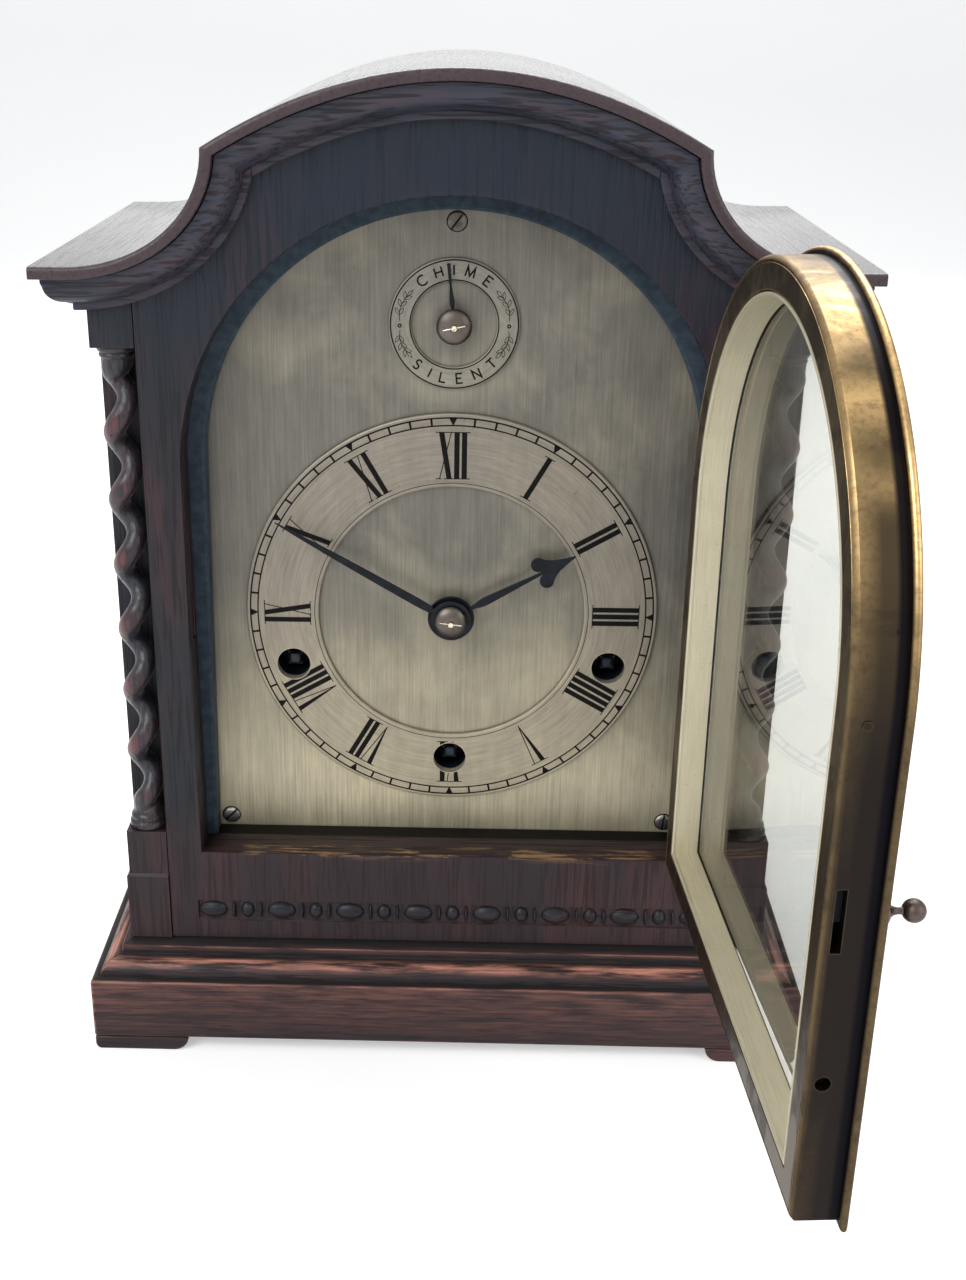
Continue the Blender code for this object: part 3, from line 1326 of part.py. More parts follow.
def build_back_door(materials):
    """The arched wooden door in the back, its turned pull and its long hinge."""
    wood = materials["oak_case"]
    brass = materials["brass"]
    front = BACK_Y - PANEL_THICKNESS
    door = prism("back_door", back_opening(DOOR_CLEARANCE), front, BACK_Y, wood)
    panel_front = BACK_Y - BACK_PANEL_DEPTH
    outline = back_opening(BACK_PANEL_INSET)
    cut(door, prism("back_panel_tool", outline, panel_front, BACK_Y + OVERCUT, wood))
    middle = BODY_Z + BACK_OPENING_RISE + BACK_OPENING_STRAIGHT / 2
    pull_profile = [
        (SEAT, PULL_RADIUS * 0.46),
        (PULL_LENGTH * 0.25, PULL_RADIUS * 0.38),
        (PULL_LENGTH * 0.44, PULL_RADIUS * 0.85),
        (PULL_LENGTH * 0.73, PULL_RADIUS),
        (PULL_LENGTH, PULL_RADIUS * 0.69),
    ]
    pull_base = Vector((BACK_OPENING_HALF - BACK_PANEL_INSET / 2, BACK_Y, middle))
    pull = turned("back_door_pull", pull_profile, pull_base, Y_AXIS, brass, sides=TURNED_SIDES)
    axis = Vector((-BACK_OPENING_HALF, BACK_Y + BACK_HINGE_RADIUS + SEAT, middle))
    half = BACK_OPENING_STRAIGHT / 2 - BACK_HINGE_SHORT
    span = [(-half, BACK_HINGE_RADIUS), (half, BACK_HINGE_RADIUS)]
    turned("back_door_hinge", span, axis, Z_AXIS, brass, sides=TURNED_SIDES)
    return [door, pull], axis


def main():
    clear_scene()
    materials = make_materials()
    build_plinth(materials)
    build_feet(materials)
    build_front_frame(materials)
    build_shell(materials)
    build_cornice(materials)
    build_columns(materials)
    build_column_blocks(materials)
    build_bead_and_reel(materials)
    build_dial(materials)

    door_pieces = build_bezel(materials) + build_bezel_hinges(materials)
    bezel_axis = Vector((HINGE_X, FRONT_Y - HINGE_OUT, DIAL_Z))
    door = hang(door_pieces, "bezel_axis", bezel_axis, rotation=(0.0, 0.0, BEZEL_OPEN))
    knob_x = -BEZEL_HALF_WIDTH + KNOB_INSET
    knob_axis = Vector((knob_x, FRONT_Y - BEZEL_FRONT, DIAL_Z + KNOB_RISE))
    hang(build_latch(materials), "latch_axis", knob_axis, parent=door)

    hands = build_hands(materials)
    centre = Vector((0.0, 0.0, DIAL_Z))
    hang(hands["minute"], "minute_arbor", centre, rotation=(0.0, MINUTE_ANGLE, 0.0))
    hang(hands["hour"], "hour_pipe", centre, rotation=(0.0, HOUR_ANGLE, 0.0))
    hang(hands["minute_wheel"], "minute_wheel_post", hands["minute_wheel_pivot"])
    chime_centre = Vector((0.0, 0.0, DIAL_Z + CHIME_RISE))
    hang(build_pointer(materials), "pointer_arbor", chime_centre, rotation=(0.0, CHIME_ANGLE, 0.0))

    arbors = build_movement(materials)
    for arbor, (word, x, z) in zip(arbors, winding_places()):
        hang([arbor], f"winding_axis_{word}", Vector((x, 0.0, DIAL_Z + z)))
    rod, pivot = build_pendulum(materials)
    hang([rod], "pendulum_pivot", pivot)
    build_chime_rods(materials)
    door_and_pull, back_axis = build_back_door(materials)
    hang(door_and_pull, "back_door_axis", back_axis)


main()
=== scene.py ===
"""Looks of an arched oak bracket clock with barley-twist columns, silvered dial and brass bezel.

+Z up, the front faces -Y. Shapes are worked out in millimetres and become metres when their mesh is
made; materials, lamps and camera are in metres. Every visible surface is a numpy grid, a profile carried
along a path or a flat outline with a thickness, and gets a node-based finish.
"""

from __future__ import annotations

import json
import logging
import math
from dataclasses import dataclass, field
from enum import Enum
from typing import Iterable, Sequence

import bmesh
import bpy
import numpy as np
from mathutils import Matrix, Vector

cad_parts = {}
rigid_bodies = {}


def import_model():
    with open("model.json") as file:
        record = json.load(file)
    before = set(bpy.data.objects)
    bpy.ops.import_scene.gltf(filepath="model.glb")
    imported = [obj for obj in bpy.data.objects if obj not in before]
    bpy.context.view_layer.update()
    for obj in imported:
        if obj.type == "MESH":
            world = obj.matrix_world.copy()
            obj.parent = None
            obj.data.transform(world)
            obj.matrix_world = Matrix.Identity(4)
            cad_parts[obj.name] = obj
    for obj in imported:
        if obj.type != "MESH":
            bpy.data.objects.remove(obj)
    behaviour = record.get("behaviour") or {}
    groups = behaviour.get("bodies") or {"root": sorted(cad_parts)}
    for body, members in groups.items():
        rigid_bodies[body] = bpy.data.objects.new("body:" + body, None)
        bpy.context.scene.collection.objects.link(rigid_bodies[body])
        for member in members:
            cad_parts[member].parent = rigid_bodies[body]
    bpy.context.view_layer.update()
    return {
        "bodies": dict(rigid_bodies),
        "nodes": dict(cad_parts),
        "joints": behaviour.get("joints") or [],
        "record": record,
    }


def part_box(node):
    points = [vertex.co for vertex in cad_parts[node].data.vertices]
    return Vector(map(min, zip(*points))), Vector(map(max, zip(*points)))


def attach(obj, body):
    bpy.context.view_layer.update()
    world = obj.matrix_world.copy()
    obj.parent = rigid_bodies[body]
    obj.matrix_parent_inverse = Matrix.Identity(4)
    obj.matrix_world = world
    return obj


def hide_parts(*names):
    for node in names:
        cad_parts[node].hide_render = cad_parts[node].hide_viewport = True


LOG = logging.getLogger("clock")
MM = 0.001
SIDES = ((-1, "left"), (1, "right"))
ALONG_X, ALONG_Y = (1.0, 0.0, 0.0), (0.0, 1.0, 0.0)
FORWARD = (0.0, -1.0, 0.0)
WHITE = (1.0, 1.0, 1.0)

Colour = tuple[float, float, float]
Floats = Sequence[float]
Array = np.ndarray
Marks = dict[str, Array]
Shape = tuple[Array, list[Array]]
Socket = bpy.types.NodeSocket
Material = bpy.types.Material


# Shared places and sizes


@dataclass(frozen=True)
class Layout:
    """Millimetres that several sub-assemblies share; heights from the floor, depths from the middle."""

    case_half: float = 102.6
    front: float = 10.0
    back: float = 143.8
    body_z: float = 35.6
    foot_height: float = 5.1
    sill_z: float = 67.5
    spring_z: float = 192.8
    opening_half: float = 78.75
    dial_z: float = 143.1
    dial_y: float = 28.6
    chime_rise: float = 90.2
    margin: float = 5.0
    sill_show: float = 0.5
    roof_top: float = 304.85
    arch_radius: float = 112.0
    cusp_x: float = 67.0
    shoulder_width: float = 38.0
    shoulder_drop: float = 31.0
    roof_projection: float = 12.5
    roof_thickness: float = 3.4
    column_bay: float = 12.6
    front_thickness: float = 12.4
    panel: float = 8.0
    seat: float = 0.3
    strip_left: float = -80.7
    strip_right: float = 84.1
    strip_rise: float = 10.5
    strip_depth: float = 1.7
    knob_rise: float = 3.0
    hinge_rises: tuple[float, float] = (41.0, -49.0)
    hinge_half: float = 11.3

    @property
    def cusp_z(self) -> float:
        """Height of the roof where its arch meets the hollow shoulder."""
        return self.roof_top - self.cusp_x**2 / (2 * self.arch_radius)

    @property
    def shoulder_z(self) -> float:
        """Height of the level ends of the roof."""
        return self.cusp_z - self.shoulder_drop

    @property
    def board_half(self) -> float:
        """Half the width of the boards between the columns."""
        return self.case_half - self.column_bay - self.seat


class Axis(Enum):
    """Direction of a wood grain or of a turn."""

    X = 0
    Y = 1
    Z = 2


# Node building


class Graph:
    """Adds and links the nodes of one material, or of the surround."""

    def __init__(self, name: str, surround: bool = False) -> None:
        """Starts an empty node tree.

        Args:
            name: name of the material or surround.
            surround: whether it is the surround.
        """
        self.owner = (bpy.data.worlds if surround else bpy.data.materials).new(name)
        self.owner.use_nodes = True
        self.tree = self.owner.node_tree
        self.tree.nodes.clear()
        self.output = self.tree.nodes.new("ShaderNodeOutput" + ("World" if surround else "Material"))

    def node(self, kind: str, inputs: dict | None = None, **settings: object) -> bpy.types.Node:
        """Adds a node.

        Args:
            kind: node type after "ShaderNode".
            inputs: input name or number to a socket to link or a value to set.
            settings: node properties.

        Returns:
            The new node.
        """
        made = self.tree.nodes.new("ShaderNode" + kind)
        for key, value in settings.items():
            setattr(made, key, value)
        for key, value in (inputs or {}).items():
            if isinstance(value, Socket):
                self.tree.links.new(value, made.inputs[key])
            else:
                made.inputs[key].default_value = value
        return made

    def place(self, scale: Floats = WHITE, offset: Floats = (0, 0, 0)) -> Socket:
        """Object coordinates moved by an offset, then stretched along each axis.

        Args:
            scale: factor for each axis.
            offset: metres added before scaling.

        Returns:
            The vector socket.
        """
        coords = self.node("TexCoord").outputs["Object"]
        moved = self.node("VectorMath", {0: coords, 1: tuple(offset)}, operation="ADD").outputs[0]
        return self.node("VectorMath", {0: moved, 1: tuple(scale)}, operation="MULTIPLY").outputs[0]

    def height(self) -> Socket:
        """Height over the floor in metres."""
        return self.node("SeparateXYZ", {0: self.place()}).outputs[2]

    def noise(self, vector: Socket, scale: float, detail: float = 3.0, rough: float = 0.55,
              distortion: float = 0.0) -> Socket:
        """Fractal noise, 0 to 1.

        Args:
            vector: coordinates.
            scale: cells per metre.
            detail: octaves.
            rough: weight of the finer octaves.
            distortion: how far the pattern is warped.

        Returns:
            The factor socket.
        """
        inputs = {"Vector": vector, "Scale": scale, "Detail": detail, "Roughness": rough,
                  "Distortion": distortion}
        return self.node("TexNoise", inputs).outputs["Fac"]

    def math(self, operation: str, a: object, b: object = 0.0, c: object = 0.0) -> Socket:
        """One arithmetic step on values or sockets."""
        return self.node("Math", {0: a, 1: b, 2: c}, operation=operation).outputs[0]

    def times(self, a: object, b: object) -> Socket:
        """One value times another."""
        return self.math("MULTIPLY", a, b)

    def plus(self, a: object, b: object) -> Socket:
        """One value plus another."""
        return self.math("ADD", a, b)

    def larger(self, a: object, b: object) -> Socket:
        """The larger of two values."""
        return self.math("MAXIMUM", a, b)

    def sloped(self, value: object, slope: float, start: object) -> Socket:
        """A start plus a slope times the value."""
        return self.math("MULTIPLY_ADD", value, slope, start)

    def rest(self, value: object) -> Socket:
        """1 minus the value."""
        return self.math("SUBTRACT", 1.0, value)

    def span(self, value: Socket, low: float, high: float, to_low: float = 0.0,
             to_high: float = 1.0) -> Socket:
        """Smooth change of the result as the value goes from low to high.

        Args:
            value: what is read.
            low: value at which the change starts.
            high: value at which it ends.
            to_low: result at the start.
            to_high: result at the end.

        Returns:
            The result socket.
        """
        inputs = {"Value": value, "From Min": low, "From Max": high, "To Min": to_low, "To Max": to_high}
        return self.node("MapRange", inputs, interpolation_type="SMOOTHSTEP").outputs["Result"]

    def mix(self, share: object, first: object, second: object, mode: str = "MIX") -> Socket:
        """Mixes two colours.

        Args:
            share: how much of the second colour shows.
            first: colour or socket.
            second: colour or socket.
            mode: blend mode.

        Returns:
            The colour socket.
        """
        first, second = ((*value, 1.0) if isinstance(value, tuple) else value for value in (first, second))
        inputs = {0: share, 6: first, 7: second}
        return self.node("Mix", inputs, data_type="RGBA", blend_type=mode).outputs[2]

    def edges(self, radius: float) -> Socket:
        """How much a corner within the radius would be rounded: 0 on flats, rising at edges.

        Args:
            radius: metres within which a corner counts.

        Returns:
            The share socket.
        """
        rounded_off = self.node("Bevel", {"Radius": radius}, samples=4).outputs[0]
        true = self.node("NewGeometry").outputs["Normal"]
        cosine = self.node("VectorMath", {0: rounded_off, 1: true}, operation="DOT_PRODUCT").outputs["Value"]
        return self.span(cosine, 0.995, 0.80)

    def hollows(self, distance: float) -> Socket:
        """1 in the open, falling in corners and hollows of that size."""
        made = self.node("AmbientOcclusion", {"Distance": distance}, samples=4, only_local=False)
        return made.outputs["AO"]

    def attribute(self, name: str) -> Socket:
        """The value of a point attribute, 0 where the piece has none."""
        return self.node("Attribute", attribute_name=name).outputs["Fac"]

    def seen_straight(self) -> Socket:
        """1 for what the camera sees, by itself, in a reflection or through glass.

        Returns:
            The socket.
        """
        rays = self.node("LightPath").outputs
        return self.larger(self.larger(rays["Is Camera Ray"], rays["Is Glossy Ray"]),
                           rays["Is Transmission Ray"])

    def bump(self, height: Socket, depth: float, strength: float, normal: Socket | None = None) -> Socket:
        """Relief from a height, 0 to 1.

        Args:
            height: the relief.
            depth: metres from lowest to highest.
            strength: share of it that shows.
            normal: relief below this one.

        Returns:
            The normal socket.
        """
        below = {"Normal": normal} if normal else {}
        inputs = {"Height": height, "Distance": depth, "Strength": strength, **below}
        return self.node("Bump", inputs).outputs["Normal"]

    def show(self, node: bpy.types.Node) -> None:
        """Links a node to the surface output."""
        self.tree.links.new(node.outputs[0], self.output.inputs["Surface"])

    def finish(self, **inputs: object) -> Material:
        """Adds the surface shader.

        Args:
            inputs: socket name with underscores for spaces to a value or socket.

        Returns:
            The finished material.
        """
        self.show(self.node("BsdfPrincipled", {key.replace("_", " "): inputs[key] for key in inputs}))
        return self.owner


def rgb(*display: float) -> Colour:
    """A linear colour from 0 to 255 display values.

    Args:
        display: red, green and blue.

    Returns:
        The linear colour.
    """
    values = np.array(display) / 255.0
    linear = np.where(values <= 0.04045, values / 12.92, ((values + 0.055) / 1.055) ** 2.4)
    return tuple(float(v) for v in linear)


# Finishes


@dataclass(frozen=True)
class Oak:
    """Stained oak: broad growth bands, fine fibres, open pores and rubbed, redder edges, with painted
    highlights, painted shade and a painted sky sheen.
    """

    name: str
    grain: Axis
    dark: Colour
    mid: Colour
    rubbed_and_lit: Colour
    rubbing: float = 0.8
    pores: float = 1.0
    gloss: float = 0.36
    coat: float = 0.0
    patchy: float = 0.3
    wavy: float = 0.3
    sheen: float = 0.0
    raw_sill_and_sky_sheen: bool = False
    dull_nosing: bool = False

    def drawn_out(self, graph: Graph, along: float) -> Socket:
        """Coordinates scaled along the grain only."""
        return graph.place([along if axis == self.grain.value else 1.0 for axis in range(3)])

    def cells(self, graph: Graph, along: float) -> Socket:
        """Coordinates drawn out along the grain; on the sill the grain runs level on level faces.

        Args:
            graph: the material being made.
            along: scale along the grain.

        Returns:
            The vector socket.
        """
        upright = self.drawn_out(graph, along)
        if not self.raw_sill_and_sky_sheen:
            return upright
        facing = graph.node("SeparateXYZ", {0: graph.node("NewGeometry").outputs["Normal"]}).outputs[2]
        level = graph.math("GREATER_THAN", facing, 0.7)
        inputs = {0: level, 4: upright, 5: graph.place((along, 1.0, 1.0))}
        return graph.node("Mix", inputs, data_type="VECTOR").outputs[1]

    def build(self) -> Material:
        """Makes the material.

        Returns:
            The material.
        """
        graph = Graph(self.name)
        bands = graph.noise(self.cells(graph, 0.05), 190.0, 4.0, 0.6, 0.6)
        fibres = graph.noise(self.cells(graph, 0.035), 1500.0, 3.0, 0.6)
        lines = graph.noise(self.cells(graph, 0.045), 900.0, 2.0, 0.5, self.wavy)
        pores = graph.span(lines, 0.50, 0.60)
        patches = graph.noise(self.drawn_out(graph, 0.3), 52.0, 3.0, 0.6)
        tone = graph.span(graph.sloped(bands, 0.6, graph.times(fibres, 0.4)), 0.33, 0.66)
        colour = graph.mix(tone, self.dark, self.mid)
        patchy = graph.span(patches, 0.42, 0.72, 0.0, self.patchy)
        colour = graph.mix(graph.times(patchy, tone), colour, self.rubbed_and_lit)
        colour = graph.mix(graph.times(pores, 0.72 * self.pores), colour, (0.006, 0.004, 0.004))
        # Rubbed edges, and the piece's wear marks, which on the plinth's ovolo and arrises are also painted
        # highlights.
        edge = graph.larger(graph.edges(0.7 * MM), graph.attribute("wear"))
        chips = graph.noise(self.drawn_out(graph, 0.1), 420.0, 4.0, 0.65)
        worn_and_lit = graph.times(graph.times(edge, graph.span(chips, 0.36, 0.62)), self.rubbing)
        worn_and_lit = graph.times(worn_and_lit, graph.span(fibres, 0.35, 0.65, 0.55, 1.0))
        colour = graph.mix(worn_and_lit, colour, self.rubbed_and_lit)
        if self.raw_sill_and_sky_sheen:
            # Painted reflection: bluish above about 200 mm, for the sky in the polish. Then redder towards
            # the bottom, and bare wood rubbed through on the sill.
            height = graph.height()
            colour = graph.mix(graph.span(height, 195 * MM, 275 * MM, 0.0, 0.6), colour, rgb(17, 28, 43))
            colour = graph.mix(graph.span(height, 90 * MM, 64 * MM, 0.0, 0.3), colour, rgb(58, 30, 26))
            flakes = graph.noise(graph.place((0.1, 1.0, 1.0)), 480.0, 4.0, 0.7, 0.5)
            raw = graph.times(graph.attribute("raw"), graph.span(flakes, 0.52, 0.60))
            colour = graph.mix(raw, colour, rgb(150, 114, 80))
        # Dust and old wax in corners and hollows, with painted shade there: darker where ambient occlusion
        # falls.
        dirt_and_shade = graph.span(graph.hollows(3.0 * MM), 0.25, 0.85, 0.45, 1.0)
        colour = graph.mix(1.0, colour, graph.mix(dirt_and_shade, (0.25, 0.25, 0.25), WHITE), "MULTIPLY")
        # Painted shade where a piece marks it; on the roof's nosing the same mark instead tints the oak and
        # takes off its coat.
        shade = graph.attribute("shade")
        colour = graph.mix(shade, colour, rgb(61, 45, 49) if self.dull_nosing else (0.003, 0.003, 0.003))
        rough = graph.plus(graph.sloped(pores, 0.22, self.gloss), graph.times(patches, 0.12))
        rough = graph.plus(rough, graph.times(shade, 0.3))
        relief = graph.bump(graph.rest(pores), 0.10 * MM, 0.55 * self.pores)
        relief = graph.bump(fibres, 0.05 * MM, 0.35, relief)
        coat = graph.times(graph.rest(shade), self.coat) if self.dull_nosing else self.coat
        return graph.finish(Base_Color=colour, Roughness=rough, Normal=relief, Specular_IOR_Level=0.34,
                            Specular_Tint=(0.84, 0.93, 1.0, 1.0), Coat_Weight=coat, Coat_Roughness=0.14,
                            Sheen_Weight=self.sheen, Sheen_Roughness=0.35)


@dataclass(frozen=True)
class AgedBrass:
    """Brass with a brown patina in mottled patches, worn bright along its edges, with painted glints where
    marked and, below a given height, a painted dark reflection.
    """

    name: str
    bright: Colour = rgb(224, 188, 130)
    mid: Colour = rgb(98, 83, 59)
    brown: Colour = rgb(36, 32, 31)
    patina: float = 0.75
    polish: float = 0.24
    darker_below: float = 0.0

    def build(self) -> Material:
        """Makes the material.

        Returns:
            The material.
        """
        graph = Graph(self.name)
        clouds = graph.noise(graph.place((0.4, 1.0, 0.7)), 75.0, 4.0, 0.62, 0.8)
        spots = graph.noise(graph.place(), 700.0, 3.0, 0.7)
        scratches = graph.noise(graph.place((1.0, 1.0, 0.12)), 2600.0, 2.0, 0.6)
        brown = graph.plus(graph.span(clouds, 0.36, 0.58, 0.0, self.patina),
                           graph.span(spots, 0.60, 0.74, 0.0, 0.35))
        brown = graph.larger(brown, graph.span(graph.hollows(1.6 * MM), 0.15, 0.75, 1.0, 0.0))
        # Bright worn edges, and painted glints where a piece marks them.
        edge = graph.larger(graph.edges(0.5 * MM), graph.attribute("wear"))
        edge = graph.times(edge, graph.span(spots, 0.25, 0.6, 0.55, 1.0))
        edge = graph.times(edge, graph.span(clouds, 0.42, 0.62, 1.0, 0.6))
        # Painted dark reflection: below the height the brass turns brown with a ragged edge and its bright
        # edges fade, except on spared points.
        if self.darker_below:
            height, limit = graph.height(), self.darker_below
            ragged = graph.sloped(clouds, 40 * MM, height)
            low = graph.plus(graph.span(ragged, limit + 20 * MM, limit + 10 * MM, 0.0, 0.6),
                             graph.span(height, limit - 12 * MM, limit - 60 * MM, 0.0, 0.38))
            brown = graph.larger(brown, graph.times(low, graph.rest(graph.attribute("clean"))))
            edge = graph.times(edge, graph.span(height, limit, limit - 50 * MM, 1.0, 0.14))
        colour = graph.mix(graph.math("MINIMUM", brown, 1.0), self.mid, self.brown)
        colour = graph.mix(graph.times(edge, 0.9), colour, self.bright)
        colour = graph.mix(graph.times(graph.attribute("groove"), 0.9), colour, rgb(20, 19, 24))
        rough = graph.plus(graph.sloped(brown, 0.22, self.polish), graph.times(scratches, 0.10))
        relief = graph.bump(spots, 0.02 * MM, 0.4, graph.bump(scratches, 0.012 * MM, 0.5))
        return graph.finish(Base_Color=colour, Metallic=1.0, Roughness=rough, Normal=relief)


@dataclass(frozen=True)
class Silvering:
    """Silvered brass, brushed straight down or round a centre, yellowed with age, with painted shade and
    painted highlights.
    """

    name: str
    centre_z: float | None = None
    cool: Colour = rgb(116, 112, 104)
    warm: Colour = rgb(202, 192, 163)
    low: float = 76.0 * MM
    high: float = 170.0 * MM

    def brushing(self, graph: Graph) -> tuple[Socket, Socket]:
        """Coordinates of the fine and the coarse brush marks: drawn out downward, or (turn, radius).

        Args:
            graph: the material being made.

        Returns:
            The two vector sockets.
        """
        if self.centre_z is None:
            return graph.place((1.0, 1.0, 0.022)), graph.place((1.0, 1.0, 0.008))
        flat = graph.place((1.0, 0.0, 1.0), (0.0, 0.0, -self.centre_z * MM))
        radius = graph.node("VectorMath", {0: flat}, operation="LENGTH").outputs["Value"]
        spoke = graph.node("VectorMath", {0: flat}, operation="NORMALIZE").outputs[0]
        parts = graph.node("SeparateXYZ", {0: spoke}).outputs
        turns = [graph.times(parts[i], 0.0022) for i in (0, 2)]
        brushed = graph.node("CombineXYZ", {0: turns[0], 1: radius, 2: turns[1]}).outputs[0]
        return brushed, brushed

    def build(self) -> Material:
        """Makes the material.

        Returns:
            The material.
        """
        graph = Graph(self.name)
        brushed, long_brush = self.brushing(graph)
        fine = graph.noise(brushed, 3400.0, 2.0, 0.6)
        coarse = graph.noise(long_brush, 1100.0, 3.0, 0.65)
        even, height = graph.place(), graph.height()
        clouds = graph.noise(even, 26.0, 4.0, 0.55, 0.5)
        blots = graph.noise(graph.place((1.0, 1.0, 0.3)), 210.0, 4.0, 0.66)
        specks = graph.noise(even, 900.0, 2.0, 0.5)
        yellow = graph.plus(graph.span(height, self.high, self.low, 0.0, 0.85),
                            graph.span(clouds, 0.4, 0.7, -0.05, 0.25))
        yellow = graph.math("MINIMUM", graph.larger(yellow, 0.0), 1.0)
        colour = graph.mix(yellow, self.cool, self.warm)
        streaks = graph.sloped(fine, 0.5, graph.times(coarse, 0.5))
        shade = graph.span(streaks, 0.30, 0.70, 0.76, 1.14)
        # Painted shade: a darker band across the middle of the plate, toning down the lamps' reflection
        # there.
        if self.centre_z is None:
            band = graph.times(graph.span(height, 158 * MM, 122 * MM), graph.span(height, 84 * MM, 110 * MM))
            shade = graph.times(shade, graph.sloped(band, -0.17, 1.0))
        shade = graph.times(shade, graph.span(blots, 0.30, 0.72, 1.04, 0.88))
        shade = graph.times(shade, graph.span(specks, 0.70, 0.80, 1.0, 0.55))
        tint = graph.node("CombineColor", {0: shade, 1: shade, 2: shade}).outputs[0]
        colour = graph.mix(1.0, colour, tint, "MULTIPLY")
        # Brownish tarnish in hollows, with painted shade there: darker where ambient occlusion falls.
        dirt_and_shade = graph.span(graph.hollows(1.2 * MM), 0.1, 0.8, 0.45, 1.0)
        colour = graph.mix(dirt_and_shade, rgb(60, 54, 44), colour)
        # Painted highlight: paler along the edges.
        colour = graph.mix(graph.times(graph.edges(0.35 * MM), 0.8), colour, rgb(214, 206, 186))
        rough = graph.span(streaks, 0.3, 0.7, 0.42, 0.56)
        return graph.finish(Base_Color=colour, Metallic=0.5, Roughness=rough,
                            Normal=graph.bump(streaks, 0.02 * MM, 0.5))


@dataclass(frozen=True)
class Painted:
    """A plain dark or pale coat with slight cloudiness and grain, such as wax, paint or bluing."""

    name: str
    colour: Colour
    other: Colour
    metal: float = 0.0
    rough: float = 0.4
    cells: float = 300.0
    specular: float = 0.5

    def build(self) -> Material:
        """Makes the material.

        Returns:
            The material.
        """
        graph = Graph(self.name)
        clouds = graph.noise(graph.place(), self.cells, 4.0, 0.6)
        fine = graph.noise(graph.place(), self.cells * 14, 2.0, 0.6)
        colour = graph.mix(graph.span(clouds, 0.35, 0.68), self.colour, self.other)
        colour = graph.mix(graph.times(graph.edges(0.25 * MM), 0.35), colour, self.other)
        colour = graph.mix(graph.attribute("shade"), colour, (0.002, 0.002, 0.002))
        return graph.finish(Base_Color=colour, Metallic=self.metal, Specular_IOR_Level=self.specular,
                            Roughness=graph.sloped(clouds, 0.2, self.rough - 0.1),
                            Normal=graph.bump(fine, 0.01 * MM, 0.4))


@dataclass(frozen=True)
class BrushedBand:
    """Silvered band brushed along its length, read from the distance along it and across it."""

    name: str
    pale: Colour = rgb(206, 198, 172)
    dull: Colour = rgb(180, 171, 146)

    def build(self) -> Material:
        """Makes the material.

        Returns:
            The material.
        """
        graph = Graph(self.name)
        run = graph.times(graph.attribute("run"), 0.012)
        strip = graph.node("CombineXYZ", {0: run, 1: graph.attribute("rise"), 2: 0.0}).outputs[0]
        scratches = graph.noise(strip, 5200.0, 3.0, 0.65)
        clouds = graph.noise(graph.place(), 70.0, 4.0, 0.6)
        spots = graph.noise(graph.place(), 1300.0, 2.0, 0.6)
        dullness = graph.sloped(scratches, 0.7, graph.times(clouds, 0.3))
        colour = graph.mix(graph.span(dullness, 0.30, 0.75), self.pale, self.dull)
        colour = graph.mix(graph.span(spots, 0.66, 0.78, 0.0, 0.6), colour, rgb(96, 84, 66))
        rough = graph.span(scratches, 0.3, 0.7, 0.32, 0.46)
        return graph.finish(Base_Color=colour, Metallic=0.45, Roughness=rough,
                            Normal=graph.bump(scratches, 0.02 * MM, 0.5))


@dataclass(frozen=True)
class Pane:
    """Old clear glass with a faint green tint and slight smears."""

    name: str

    def build(self) -> Material:
        """Makes the material.

        Returns:
            The material.
        """
        graph = Graph(self.name)
        smears = graph.noise(graph.place((1.0, 1.0, 0.4)), 60.0, 4.0, 0.6, 0.4)
        return graph.finish(Base_Color=(0.70, 0.717, 0.677, 1.0), IOR=1.48, Transmission_Weight=1.0,
                            Roughness=graph.span(smears, 0.5, 0.8, 0.0, 0.05))


